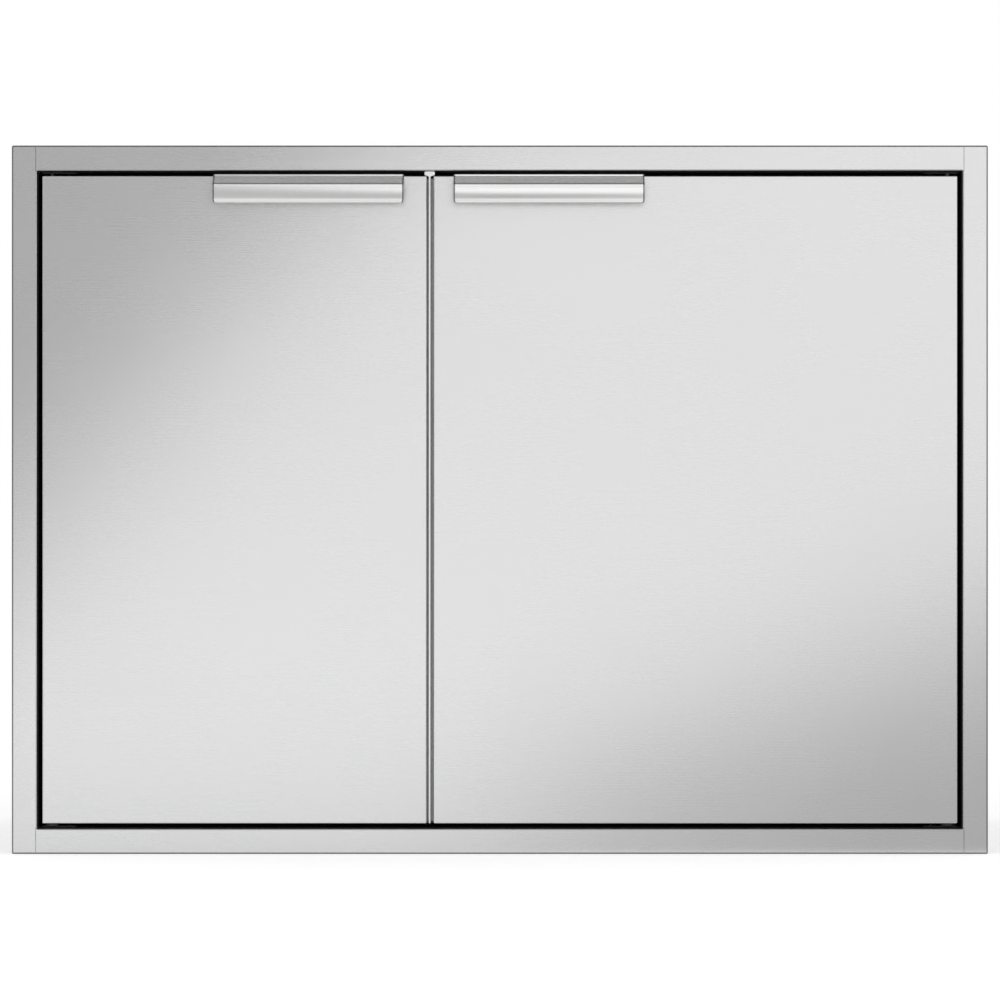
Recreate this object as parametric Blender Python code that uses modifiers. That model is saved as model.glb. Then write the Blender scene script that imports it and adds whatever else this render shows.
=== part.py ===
"""Built-in stainless steel pantry cabinet with two inset doors of unlike width.

Metres, +Z up, the front faces -Y. The origin lies under the middle of the cabinet, at floor level.
Every piece is its own object. Pieces of the doors hang under an empty on the door's hinge axis, and
the sprung hinge pins hang under an empty on the same axis.

Sheet pieces are flat plates whose flanges are folded from their edges. The surface that is drawn is
the outer or visible skin of the sheet, and Solidify gives it its gauge on the hidden side. Depths are
measured backwards from the front face of the frame, so a piece in front of it has a negative depth.
"""

import math

import bmesh
import bpy
from mathutils import Matrix, Vector

# Overall sizes
FRAME_WIDTH = 0.9144
FRAME_HEIGHT = 0.6637
CABINET_DEPTH = 0.5600

# Fits
SEAT_GAP = 0.0003
CUT_OVERRUN = 0.0040
WELD_DISTANCE = 0.00001

# Trim frame, folded from one gauge of sheet
FRAME_FACE = 0.0238
FRAME_GAUGE = 0.0010
FRAME_LEG = 0.0100
FRAME_LIP = 0.0100
FRAME_BEND = 0.0012
SEAM_STEP = 0.0015
RECESS_DEPTH = 0.0250
STOP_WIDTH = 0.0280
STOP_LIP = 0.0080

# Box behind the frame
BOX_GAUGE = 0.0010
BOX_BEND = 0.0012
SIDE_FLANGE = 0.0130
BOX_CLEARANCE = 0.0005
PAN_LIP = 0.0120
BACK_PAN_DEPTH = 0.0120

# Doors
DOOR_RING = 0.0048
LEFT_DOOR_WIDTH = 0.3601
DOOR_MEETING_GAP = 0.0064
DOOR_THICKNESS = 0.0200
DOOR_GAUGE = 0.0010
DOOR_BEND = 0.0015
DOOR_BACK_FLANGE = 0.0300
LINER_GAUGE = 0.0008
LINER_INSET = 0.0096
LINER_CROWN = 0.0015
LINER_CROWN_INSET = 0.0300
LINER_CROWN_SLOPE = 0.0045

# Hinge axis, from the door's hinge edge and from its front
PIVOT_INSET = 0.0090
PIVOT_DEPTH = 0.0080

# Strip and post between the doors
STRIP_WIDTH = 0.0018
STRIP_LEFT_LINE = 0.0018
STRIP_FRONT_DEPTH = 0.0020
STRIP_FOOT_WIDTH = 0.0198
STRIP_FOOT_THICKNESS = 0.0012
STRIP_HEAD_WIDTH = 0.0103
STRIP_HEAD_DROP = 0.0019
STRIP_HEAD_THICKNESS = 0.0060
STRIP_HEAD_EASING = 0.0006
POST_WIDTH = 0.0520
POST_LEG = 0.0120
DIVIDER_THICKNESS = 0.0250

# Seals
LINING_THICKNESS = 0.0010
LINING_BEND = 0.0006
LINING_BASE = 0.0088
LINING_FRONT_DEPTH = 0.0016
LINING_FRONT_BAND = 0.0016
GASKET_WIDTH = 0.0100
GASKET_ROUNDING = 0.0008
GASKET_CORNER = 0.0060
GASKET_INNER_CORNER = 0.0030
GASKET_INSET = 0.0101

# Edge pulls on the doors' top edges
HANDLE_LENGTH = 0.1783
HANDLE_GAUGE = 0.0012
HANDLE_HEIGHT = 0.0270
HANDLE_REACH = 0.0228
HANDLE_SLOPE_DROP = 0.0078
HANDLE_SLOPE_START = 0.0010
HANDLE_HOLLOW = 0.0022
HANDLE_BEND = 0.0019
HANDLE_RETURN = 0.0032
HANDLE_FLANGE = 0.0160
LEFT_HANDLE_INSET = 0.0213
RIGHT_HANDLE_INSET = 0.0189
HANDLE_SCREW_INSET = 0.0220
HANDLE_SCREW_DEPTH = 0.0095
HANDLE_CURVE_STEPS = 7

# Pivot brackets on the rails
BRACKET_THICKNESS = 0.0020
BRACKET_FRONT_DEPTH = 0.0036
BRACKET_DEPTH = 0.0154
BRACKET_OUTER = 0.0100
BRACKET_INNER = 0.0230
BRACKET_CORNER = 0.0030
BRACKET_SCREW_OFFSET = 0.0160
BRACKET_SCREW_SPREAD = 0.0048

# Sprung upper pin and its bracket inside the door
PIN_RADIUS = 0.0025
PIN_HOLE_CLEARANCE = 0.0006
PIN_TRAVEL = 0.0085
PIN_RETRACTED_TIP = 0.0004
PIN_LENGTH = 0.0620
PIN_BEND = 0.0050
PIN_ARM = 0.0260
PIN_GRIP = 0.0090
PIN_TIP_LENGTH = 0.0010
PIN_TIP_RADIUS_SHARE = 0.6
PIN_COLLAR_RADIUS = 0.0048
PIN_COLLAR_THICKNESS = 0.0020
PIN_BRACKET_GAUGE = 0.0015
PIN_BRACKET_DROP = 0.0060
PIN_BRACKET_HEIGHT = 0.0400
PIN_BRACKET_REACH = 0.0070
PIN_BRACKET_WIDTH = 0.0120
SPRING_WIRE = 0.0009
SPRING_CLEARANCE = 0.0005
SPRING_TURNS = 7
SPRING_TURN_POINTS = 9
SLOT_SIDE_CLEARANCE = 0.0008

# Fixed lower pin and the bush that turns on it
LOWER_PIN_RADIUS = 0.0030
LOWER_PIN_HEIGHT = 0.0120
LOWER_PIN_CHAMFER = 0.0008
BUSH_WALL = 0.0016
BUSH_FLANGE_RADIUS = 0.0070
BUSH_HEIGHT = 0.0120

# Magnetic catches
CATCH_LENGTH = 0.0480
CATCH_HEIGHT = 0.0130
CATCH_DEPTH = 0.0180
CATCH_SIDE = 0.0450
CATCH_ROUNDING = 0.0012
STRIKE_THICKNESS = 0.0014
STRIKE_MARGIN = 0.0040
STRIKE_CORNER = 0.0025

# Shelves on slotted standards
SHELF_GAUGE = 0.0010
SHELF_FLANGE = 0.0220
SHELF_RETURN = 0.0090
SHELF_BEND = 0.0014
SHELF_FRONT_DEPTH = 0.0520
SHELF_BACK_CLEARANCE = 0.0060
SHELF_SIDE_CLEARANCE = 0.0090
STANDARD_WIDTH = 0.0150
STANDARD_DEPTH = 0.0050
STANDARD_GAUGE = 0.0010
STANDARD_MARGIN = 0.0250
STANDARD_FRONT_DEPTH = 0.0950
STANDARD_BACK_CLEARANCE = 0.0700
SLOT_COUNT = 11
SLOT_PITCH = 0.0500
SLOT_WIDTH = 0.0090
SLOT_HEIGHT = 0.0030
RUNNER_GAUGE = 0.0012
RUNNER_BEND = 0.0014
RUNNER_DROP = 0.0140
RUNNER_RISE = 0.0060
RUNNER_TAB = 0.0160
RUNNER_END = 0.0120
HOOK_CLEARANCE = 0.0004
HOOK_REACH = 0.0024
LOWER_SHELF_SLOT = 4
UPPER_SHELF_SLOT = 8

# Round work and folds
SCREW_HOLE_RADIUS = 0.0021
ROUND_STEPS = 12
PIN_STEPS = 16
BEND_SEGMENTS = 2
SHARP_ANGLE = math.radians(35)
FLAT_ANGLE = math.radians(0.2)

# Sizes worked out from those above
HALF_WIDTH = FRAME_WIDTH / 2
OPENING_HALF = HALF_WIDTH - FRAME_FACE
OPENING_BOTTOM = FRAME_FACE
OPENING_TOP = FRAME_HEIGHT - FRAME_FACE
DOOR_BOTTOM = OPENING_BOTTOM + DOOR_RING
DOOR_TOP = OPENING_TOP - DOOR_RING
LEFT_HINGE_EDGE = -OPENING_HALF + DOOR_RING
LEFT_FREE_EDGE = LEFT_HINGE_EDGE + LEFT_DOOR_WIDTH
RIGHT_HINGE_EDGE = OPENING_HALF - DOOR_RING
RIGHT_FREE_EDGE = LEFT_FREE_EDGE + DOOR_MEETING_GAP
STRIP_CENTRE = LEFT_FREE_EDGE + STRIP_LEFT_LINE + STRIP_WIDTH / 2
FACE_Y = (HANDLE_REACH - CABINET_DEPTH) / 2
BOX_BOTTOM = FRAME_LIP + BOX_CLEARANCE
BOX_TOP = FRAME_HEIGHT - FRAME_LIP - BOX_CLEARANCE
BOX_INNER_HALF = OPENING_HALF + FRAME_GAUGE + SEAT_GAP
BOX_FRONT_DEPTH = FRAME_GAUGE + SEAT_GAP
FLOOR_TOP = OPENING_BOTTOM - FRAME_GAUGE - SEAT_GAP
CEILING_BOTTOM = OPENING_TOP + FRAME_GAUGE + SEAT_GAP
BACK_FACE_DEPTH = CABINET_DEPTH - BACK_PAN_DEPTH
STOP_BACK_DEPTH = RECESS_DEPTH + FRAME_GAUGE
LINER_FRONT_DEPTH = DOOR_THICKNESS + SEAT_GAP
LINER_BACK_DEPTH = LINER_FRONT_DEPTH + LINER_GAUGE
PIN_TIP_Z = DOOR_TOP - PIN_RETRACTED_TIP + PIN_TRAVEL
UPPER_BRACKET_TOP = OPENING_TOP - SEAT_GAP
LOWER_BRACKET_TOP = OPENING_BOTTOM + SEAT_GAP + BRACKET_THICKNESS

BRUSHED_STEEL = ((0.60, 0.60, 0.59), 0.30, 1.0)
PLAIN_STEEL = ((0.55, 0.55, 0.54), 0.38, 1.0)
BRIGHT_STEEL = ((0.68, 0.68, 0.67), 0.22, 1.0)
ZINC = ((0.62, 0.64, 0.66), 0.32, 1.0)
RUBBER = ((0.012, 0.012, 0.012), 0.70, 0.0)
NYLON = ((0.70, 0.69, 0.64), 0.45, 0.0)
CATCH_PLASTIC = ((0.030, 0.030, 0.032), 0.50, 0.0)


class Side:
    """One door's side of the cabinet: its edges, its hinge axis and which way is inboard."""

    def __init__(self, name, hinge_edge, free_edge, handle_inset):
        self.name = name
        self.hinge_edge = hinge_edge
        self.free_edge = free_edge
        self.handle_inset = handle_inset
        self.inboard = math.copysign(1.0, free_edge - hinge_edge)
        self.pivot = Vector((hinge_edge + self.inboard * PIVOT_INSET, PIVOT_DEPTH, 0.0))

    def from_pivot(self, distance):
        return self.pivot.x + self.inboard * distance


LEFT = Side("left", LEFT_HINGE_EDGE, LEFT_FREE_EDGE, LEFT_HANDLE_INSET)
RIGHT = Side("right", RIGHT_HINGE_EDGE, RIGHT_FREE_EDGE, RIGHT_HANDLE_INSET)
SIDES = (LEFT, RIGHT)


# Scene and materials

def clear_scene():
    for obj in list(bpy.data.objects):
        bpy.data.objects.remove(obj, do_unlink=True)


def new_collection(name, hidden=False):
    collection = bpy.data.collections.new(name)
    bpy.context.scene.collection.children.link(collection)
    collection.hide_render = hidden
    return collection


def new_material(name, look):
    colour, roughness, metallic = look
    material = bpy.data.materials.new(name)
    material.use_nodes = True
    shader = material.node_tree.nodes["Principled BSDF"]
    shader.inputs["Base Color"].default_value = (*colour, 1.0)
    shader.inputs["Roughness"].default_value = roughness
    shader.inputs["Metallic"].default_value = metallic
    return material


def new_empty(name, location, parent=None):
    empty = bpy.data.objects.new(name, None)
    PARTS.objects.link(empty)
    empty.location = location
    empty.parent = parent
    return empty


def new_part(name, source, look, parent):
    """Makes an object from a bmesh or mesh drawn in cabinet space and hangs it under its empty."""
    if isinstance(source, bmesh.types.BMesh):
        mesh = bpy.data.meshes.new(name)
        source.to_mesh(mesh)
        source.free()
    else:
        mesh = source
        mesh.name = name
    offset = parent.location if parent.parent else Vector()
    mesh.transform(Matrix.Translation(-offset))
    mesh.materials.clear()
    mesh.materials.append(new_material(name, look))
    obj = bpy.data.objects.new(name, mesh)
    PARTS.objects.link(obj)
    obj.parent = parent
    return obj


def shade_round(obj):
    obj.data.shade_smooth()
    obj.data.set_sharp_from_angle(angle=SHARP_ANGLE)


# Sheet metal

def plate(bm, corner, across, along):
    """A rectangular sheet from a corner and two sides; its visible side faces across x along."""
    across = Vector(across)
    along = Vector(along)
    normal = across.cross(along).normalized()
    centre = Vector(corner) + (across + along) / 2
    matrix = Matrix.Translation(centre) @ Matrix((across, along, normal)).transposed().to_4x4()
    made = bmesh.ops.create_grid(bm, x_segments=1, y_segments=1, size=0.5, matrix=matrix)
    return made["verts"]


def split_sheet(bm, point, normal):
    """Scores the sheet along a plane, so that a flange can start there."""
    geometry = bm.verts[:] + bm.edges[:] + bm.faces[:]
    bmesh.ops.bisect_plane(bm, geom=geometry, plane_co=point, plane_no=normal, dist=WELD_DISTANCE)


def free_edges(bm, test):
    """The sheet's open edges whose middle passes a test."""
    return [e for e in bm.edges if e.is_boundary and test((e.verts[0].co + e.verts[1].co) / 2)]


def near(value, target):
    return abs(value - target) < WELD_DISTANCE


def fold(bm, edges, move, shift=None):
    """Folds a flange out of open edges; shift(point) moves its free corners further."""
    made = bmesh.ops.extrude_edge_only(bm, edges=edges)["geom"]
    verts = [g for g in made if isinstance(g, bmesh.types.BMVert)]
    for vert in verts:
        step = Vector(move)
        if shift:
            step = step + shift(vert.co)
        vert.co += step
    moved = set(verts)
    return [g for g in made if isinstance(g, bmesh.types.BMEdge) and moved.issuperset(g.verts)]


def strip(bm, profile, along):
    """A folded strip: an open profile drawn out along a vector."""
    verts = [bm.verts.new(point) for point in profile]
    edges = [bm.edges.new(pair) for pair in zip(verts, verts[1:])]
    fold(bm, edges, along)


def give_gauge(obj, gauge, bend):
    """Rounds the sheet's folds and gives it its thickness on the hidden side."""
    if bend:
        bevel = obj.modifiers.new("bends", "BEVEL")
        bevel.limit_method = "ANGLE"
        bevel.width = bend
        bevel.segments = BEND_SEGMENTS
    solidify = obj.modifiers.new("gauge", "SOLIDIFY")
    solidify.thickness = gauge
    solidify.offset = -1.0
    solidify.use_even_offset = True
    return obj


# Solid pieces

def turned(bm, profile, centre, axis, steps=ROUND_STEPS):
    """Turns a profile of (radius, height) points about an axis through centre."""
    axis = Vector(axis).normalized()
    turn = Vector((0.0, 0.0, 1.0)).rotation_difference(axis).to_matrix().to_4x4()
    place = Matrix.Translation(Vector(centre)) @ turn
    verts = [bm.verts.new(place @ Vector((radius, 0.0, height))) for radius, height in profile]
    edges = [bm.edges.new(pair) for pair in zip(verts, verts[1:])]
    bmesh.ops.spin(
        bm, geom=verts + edges, cent=Vector(centre), axis=axis,
        angle=math.tau, steps=steps, use_merge=True,
    )
    bmesh.ops.remove_doubles(bm, verts=bm.verts[:], dist=WELD_DISTANCE)


def close_out(bm):
    bmesh.ops.recalc_face_normals(bm, faces=bm.faces[:])
    return bm


def add_box(bm, low, high):
    low = Vector(low)
    high = Vector(high)
    scale = Matrix.Diagonal((*(high - low), 1.0))
    bmesh.ops.create_cube(bm, size=1.0, matrix=Matrix.Translation((low + high) / 2) @ scale)


def curve_mesh(curve, matrix):
    """Turns a curve into a closed mesh in cabinet space."""
    obj = bpy.data.objects.new(curve.name, curve)
    bpy.context.scene.collection.objects.link(obj)
    graph = bpy.context.evaluated_depsgraph_get()
    mesh = bpy.data.meshes.new_from_object(obj.evaluated_get(graph))
    bpy.data.objects.remove(obj, do_unlink=True)
    bpy.data.curves.remove(curve)
    mesh.transform(matrix)
    bm = bmesh.new()
    bm.from_mesh(mesh)
    bmesh.ops.remove_doubles(bm, verts=bm.verts[:], dist=WELD_DISTANCE)
    bmesh.ops.dissolve_limit(bm, angle_limit=FLAT_ANGLE, verts=bm.verts[:], edges=bm.edges[:])
    close_out(bm).to_mesh(mesh)
    bm.free()
    return mesh


def outline_mesh(name, loops, plane, middle, thickness, rounding=0.0):
    """A flat outline given thickness. Plane XZ stands in the front's plane, XY lies flat."""
    curve = bpy.data.curves.new(name, "CURVE")
    curve.dimensions = "2D"
    curve.fill_mode = "BOTH"
    curve.extrude = thickness / 2 - rounding
    curve.bevel_depth = rounding
    curve.bevel_resolution = 0
    curve.offset = -rounding
    for loop in loops:
        spline = curve.splines.new("POLY")
        spline.points.add(len(loop) - 1)
        for point, (across, up) in zip(spline.points, loop):
            point.co = (across, up, 0.0, 1.0)
        spline.use_cyclic_u = True
    if plane == "XZ":
        matrix = Matrix.Translation((0.0, middle, 0.0)) @ Matrix.Rotation(math.pi / 2, 4, "X")
    else:
        matrix = Matrix.Translation((0.0, 0.0, middle))
    return curve_mesh(curve, matrix)


def rod_mesh(name, points, radius, resolution, tip_share=1.0):
    curve = bpy.data.curves.new(name, "CURVE")
    curve.dimensions = "3D"
    curve.bevel_depth = radius
    curve.bevel_resolution = resolution
    curve.use_fill_caps = True
    spline = curve.splines.new("POLY")
    spline.points.add(len(points) - 1)
    for point, place in zip(spline.points, points):
        point.co = (*place, 1.0)
    spline.points[0].radius = tip_share
    return curve_mesh(curve, Matrix())


def arc(centre, radius, start, end, steps):
    """Points on an arc in a plane, angles in radians."""
    angles = [start + (end - start) * step / steps for step in range(steps + 1)]
    return [(centre[0] + radius * math.cos(a), centre[1] + radius * math.sin(a)) for a in angles]


def rounded_rectangle(low, high, radius, steps=3):
    corners = (
        (high[0] - radius, high[1] - radius),
        (low[0] + radius, high[1] - radius),
        (low[0] + radius, low[1] + radius),
        (high[0] - radius, low[1] + radius),
    )
    points = []
    for quarter, centre in enumerate(corners):
        start = quarter * math.pi / 2
        points += arc(centre, radius, start, start + math.pi / 2, steps)
    return points


def rectangle(low, high):
    return [(low[0], low[1]), (high[0], low[1]), (high[0], high[1]), (low[0], high[1])]


# Cuts

def new_cutter(name, bm):
    mesh = bpy.data.meshes.new(name)
    close_out(bm).to_mesh(mesh)
    bm.free()
    cutter = bpy.data.objects.new(name, mesh)
    CUTTERS.objects.link(cutter)
    cutter.parent = ROOT
    cutter.hide_render = True
    cutter.display_type = "WIRE"
    return cutter


def cut(obj, cutter):
    modifier = obj.modifiers.new(cutter.name, "BOOLEAN")
    modifier.operation = "DIFFERENCE"
    modifier.solver = "EXACT"
    modifier.object = cutter


def join(obj, bm, name):
    """Joins a solid to an object for good."""
    cutter = new_cutter(name, bm)
    offset = obj.parent.location if obj.parent.parent else Vector()
    cutter.data.transform(Matrix.Translation(-offset))
    cutter.parent = obj.parent
    modifier = obj.modifiers.new(name, "BOOLEAN")
    modifier.operation = "UNION"
    modifier.solver = "EXACT"
    modifier.use_self = True
    modifier.object = cutter


def drill(name, holes, objects, steps=ROUND_STEPS):
    """Cuts round holes, each (start, axis, length, radius), through every object given."""
    bm = bmesh.new()
    for start, axis, length, radius in holes:
        profile = [(0.0, 0.0), (radius, 0.0), (radius, length), (0.0, length)]
        turned(bm, profile, start, axis, steps)
    cutter = new_cutter(name, bm)
    for obj in objects:
        cut(obj, cutter)


# Trim frame

def frame_lip_shift(point, outer_x=None):
    """Moves a lip's corners inwards, so that lips meet in a mitre at the frame's corners."""
    shift = Vector()
    if outer_x is not None and near(point.x, outer_x):
        shift.x = -math.copysign(FRAME_LIP, outer_x)
    if near(point.z, FRAME_HEIGHT):
        shift.z = -FRAME_LIP
    if near(point.z, 0.0):
        shift.z = FRAME_LIP
    return shift


def frame_stile(side):
    """Full-height upright: face, outer leg and lip, and the recess wall that ends in the door stop."""
    out = -side.inboard
    outer_x = out * HALF_WIDTH
    seam_x = out * (OPENING_HALF + SEAM_STEP)
    bm = bmesh.new()
    low_x = min(outer_x, seam_x)
    width = abs(outer_x - seam_x)
    plate(bm, (low_x, 0.0, 0.0), (width, 0.0, 0.0), (0.0, 0.0, FRAME_HEIGHT))
    for height in (OPENING_BOTTOM + SEAT_GAP, OPENING_TOP - SEAT_GAP):
        split_sheet(bm, (0.0, 0.0, height), (0.0, 0.0, 1.0))
    outside = free_edges(bm, lambda p: not near(p.x, seam_x))
    leg = fold(bm, outside, (0.0, FRAME_LEG, 0.0))
    fold(bm, leg, (0.0, 0.0, 0.0), lambda p: frame_lip_shift(p, outer_x))
    inside = free_edges(bm, lambda p: near(p.x, seam_x) and OPENING_BOTTOM < p.z < OPENING_TOP)
    edge = fold(bm, inside, (-out * SEAM_STEP, 0.0, 0.0))
    wall = fold(bm, edge, (0.0, RECESS_DEPTH, 0.0))
    middle = FRAME_HEIGHT / 2
    stop = fold(
        bm, wall, (-out * STOP_WIDTH, 0.0, 0.0),
        lambda p: Vector((0.0, 0.0, math.copysign(STOP_WIDTH, middle - p.z))),
    )
    fold(bm, stop, (0.0, STOP_LIP, 0.0))
    obj = new_part(f"frame_stile_{side.name}", bm, BRUSHED_STEEL, ROOT)
    return give_gauge(obj, FRAME_GAUGE, FRAME_BEND)


def frame_rail(name, top):
    """Rail between the stiles, folded like them."""
    up = 1.0 if top else -1.0
    end_x = OPENING_HALF + SEAM_STEP - SEAT_GAP
    wall_x = OPENING_HALF - SEAT_GAP
    outer_z = FRAME_HEIGHT if top else 0.0
    relief_z = outer_z - up * (FRAME_FACE - SEAM_STEP)
    bm = bmesh.new()
    low_z = min(outer_z, relief_z)
    plate(bm, (-end_x, 0.0, low_z), (end_x * 2, 0.0, 0.0), (0.0, 0.0, FRAME_FACE - SEAM_STEP))
    for x in (-wall_x, wall_x):
        split_sheet(bm, (x, 0.0, 0.0), (1.0, 0.0, 0.0))
    leg = fold(bm, free_edges(bm, lambda p: near(p.z, outer_z)), (0.0, FRAME_LEG, 0.0))
    fold(bm, leg, (0.0, 0.0, 0.0), frame_lip_shift)
    inside = free_edges(bm, lambda p: near(p.z, relief_z) and abs(p.x) < wall_x)
    edge = fold(bm, inside, (0.0, 0.0, -up * SEAM_STEP))
    wall = fold(bm, edge, (0.0, RECESS_DEPTH, 0.0))
    stop = fold(
        bm, wall, (0.0, 0.0, -up * STOP_WIDTH),
        lambda p: Vector((-math.copysign(STOP_WIDTH, p.x), 0.0, 0.0)),
    )
    fold(bm, stop, (0.0, STOP_LIP, 0.0))
    return give_gauge(new_part(name, bm, BRUSHED_STEEL, ROOT), FRAME_GAUGE, FRAME_BEND)


# Box

def side_panel(side):
    out = -side.inboard
    inner_x = out * BOX_INNER_HALF
    points = (
        (inner_x + out * SIDE_FLANGE, BOX_FRONT_DEPTH, BOX_BOTTOM),
        (inner_x, BOX_FRONT_DEPTH, BOX_BOTTOM),
        (inner_x, CABINET_DEPTH, BOX_BOTTOM),
    )
    if out > 0:
        points = points[::-1]
    bm = bmesh.new()
    strip(bm, points, (0.0, 0.0, BOX_TOP - BOX_BOTTOM))
    face_towards(bm, Vector((side.inboard, -1.0, 0.0)))
    obj = new_part(f"side_panel_{side.name}", bm, PLAIN_STEEL, ROOT)
    return give_gauge(obj, BOX_GAUGE, BOX_BEND)


def face_towards(bm, direction):
    """Turns the whole sheet over when its visible side looks away from a direction."""
    bm.normal_update()
    if sum(face.normal.dot(direction) * face.calc_area() for face in bm.faces) < 0:
        bmesh.ops.reverse_faces(bm, faces=bm.faces[:])


def flanged_pan(name, low, high, normal, wall, lip, gauge, bend, look, parent):
    """A plate with all four edges folded away from its visible side and their ends turned in."""
    low = Vector(low)
    high = Vector(high)
    normal = Vector(normal)
    across = [axis for axis in range(3) if normal[axis] == 0.0]
    first = Vector()
    second = Vector()
    first[across[0]] = high[across[0]] - low[across[0]]
    second[across[1]] = high[across[1]] - low[across[1]]
    bm = bmesh.new()
    plate(bm, low, first, second)
    face_towards(bm, normal)
    rim = fold(bm, bm.edges[:], -normal * wall)
    if lip:
        middle = (low + high) / 2

        def inwards(point):
            shift = Vector()
            for axis in across:
                shift[axis] = math.copysign(lip, middle[axis] - point[axis])
            return shift

        fold(bm, rim, (0.0, 0.0, 0.0), inwards)
    return give_gauge(new_part(name, bm, look, parent), gauge, bend)


def floor_and_ceiling():
    half = BOX_INNER_HALF - SEAT_GAP
    near_depth = BOX_FRONT_DEPTH
    flanged_pan(
        "bottom_panel", (-half, near_depth, FLOOR_TOP), (half, CABINET_DEPTH, FLOOR_TOP),
        (0.0, 0.0, 1.0), FLOOR_TOP - BOX_BOTTOM, PAN_LIP, BOX_GAUGE, BOX_BEND, PLAIN_STEEL, ROOT,
    )
    return flanged_pan(
        "top_panel", (-half, near_depth, CEILING_BOTTOM), (half, CABINET_DEPTH, CEILING_BOTTOM),
        (0.0, 0.0, -1.0), BOX_TOP - CEILING_BOTTOM, PAN_LIP, BOX_GAUGE, BOX_BEND, PLAIN_STEEL, ROOT,
    )


def back_panel():
    half = BOX_INNER_HALF - SEAT_GAP
    return flanged_pan(
        "back_panel",
        (-half, BACK_FACE_DEPTH, FLOOR_TOP + SEAT_GAP),
        (half, BACK_FACE_DEPTH, CEILING_BOTTOM - SEAT_GAP),
        (0.0, -1.0, 0.0), BACK_PAN_DEPTH, 0.0, BOX_GAUGE, BOX_BEND, PLAIN_STEEL, ROOT,
    )


# Divider, post and strip between the doors

def divider_panel():
    half = DIVIDER_THICKNESS / 2
    front = STOP_BACK_DEPTH + SEAT_GAP
    rear = BACK_FACE_DEPTH - SEAT_GAP
    bottom = FLOOR_TOP + SEAT_GAP
    height = CEILING_BOTTOM - SEAT_GAP - bottom
    profile = (
        (STRIP_CENTRE - half, front + STOP_LIP, bottom),
        (STRIP_CENTRE - half, rear, bottom),
        (STRIP_CENTRE + half, rear, bottom),
        (STRIP_CENTRE + half, front + STOP_LIP, bottom),
    )
    bm = bmesh.new()
    strip(bm, profile, (0.0, 0.0, height))
    face_towards(bm, Vector((0.0, 1.0, 0.0)))
    return give_gauge(new_part("divider_panel", bm, PLAIN_STEEL, ROOT), BOX_GAUGE, BOX_BEND)


def mullion_post():
    half = POST_WIDTH / 2
    inner = DIVIDER_THICKNESS / 2 + SEAT_GAP
    front = RECESS_DEPTH
    rear = RECESS_DEPTH + POST_LEG
    bottom = OPENING_BOTTOM + STOP_WIDTH + SEAT_GAP
    height = OPENING_TOP - STOP_WIDTH - SEAT_GAP - bottom
    profile = (
        (STRIP_CENTRE - inner, rear, bottom),
        (STRIP_CENTRE - half, rear, bottom),
        (STRIP_CENTRE - half, front, bottom),
        (STRIP_CENTRE + half, front, bottom),
        (STRIP_CENTRE + half, rear, bottom),
        (STRIP_CENTRE + inner, rear, bottom),
    )
    bm = bmesh.new()
    strip(bm, profile, (0.0, 0.0, height))
    face_towards(bm, Vector((0.0, -1.0, 0.0)))
    return give_gauge(new_part("mullion_post", bm, BRUSHED_STEEL, ROOT), FRAME_GAUGE, FRAME_BEND)


def strip_head_outline():
    """Half-width and height pairs for the flared head, mirrored about the strip's middle."""
    top = OPENING_TOP - SEAT_GAP
    shoulder = DOOR_TOP + STRIP_HEAD_EASING
    half = STRIP_HEAD_WIDTH / 2
    web = STRIP_WIDTH / 2
    foot = DOOR_TOP - STRIP_HEAD_DROP
    gap = min(STRIP_LEFT_LINE, DOOR_MEETING_GAP - STRIP_LEFT_LINE - STRIP_WIDTH)
    neck = web + gap / 2
    right = [(half, top), (half, shoulder + STRIP_HEAD_EASING)]
    right += [(half - STRIP_HEAD_EASING, shoulder)]
    right += [(neck, shoulder), (neck - SEAT_GAP, DOOR_TOP - STRIP_HEAD_DROP / 2), (web / 2, foot)]
    left = [(-across, up) for across, up in reversed(right)]
    return [(STRIP_CENTRE + across, up) for across, up in right + left]


def mullion_strip():
    """T section that fills the gap between the doors, with a flared head under the top rail."""
    bottom = DOOR_BOTTOM
    foot_rear = RECESS_DEPTH - SEAT_GAP
    foot_front = foot_rear - STRIP_FOOT_THICKNESS
    web = STRIP_WIDTH / 2
    foot = STRIP_FOOT_WIDTH / 2
    section = [
        (STRIP_CENTRE - web, STRIP_FRONT_DEPTH),
        (STRIP_CENTRE + web, STRIP_FRONT_DEPTH),
        (STRIP_CENTRE + web, foot_front),
        (STRIP_CENTRE + foot, foot_front),
        (STRIP_CENTRE + foot, foot_rear),
        (STRIP_CENTRE - foot, foot_rear),
        (STRIP_CENTRE - foot, foot_front),
        (STRIP_CENTRE - web, foot_front),
    ]
    top = OPENING_TOP - FRAME_BEND - SEAT_GAP
    mesh = outline_mesh("mullion_strip", [section], "XY", (bottom + top) / 2, top - bottom)
    obj = new_part("mullion_strip", mesh, BRIGHT_STEEL, ROOT)
    middle = STRIP_FRONT_DEPTH + STRIP_HEAD_THICKNESS / 2
    head = outline_mesh("strip_head", [strip_head_outline()], "XZ", middle, STRIP_HEAD_THICKNESS)
    bm = bmesh.new()
    bm.from_mesh(head)
    join(obj, bm, "mullion_strip_head")
    return obj


# Seals

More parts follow.
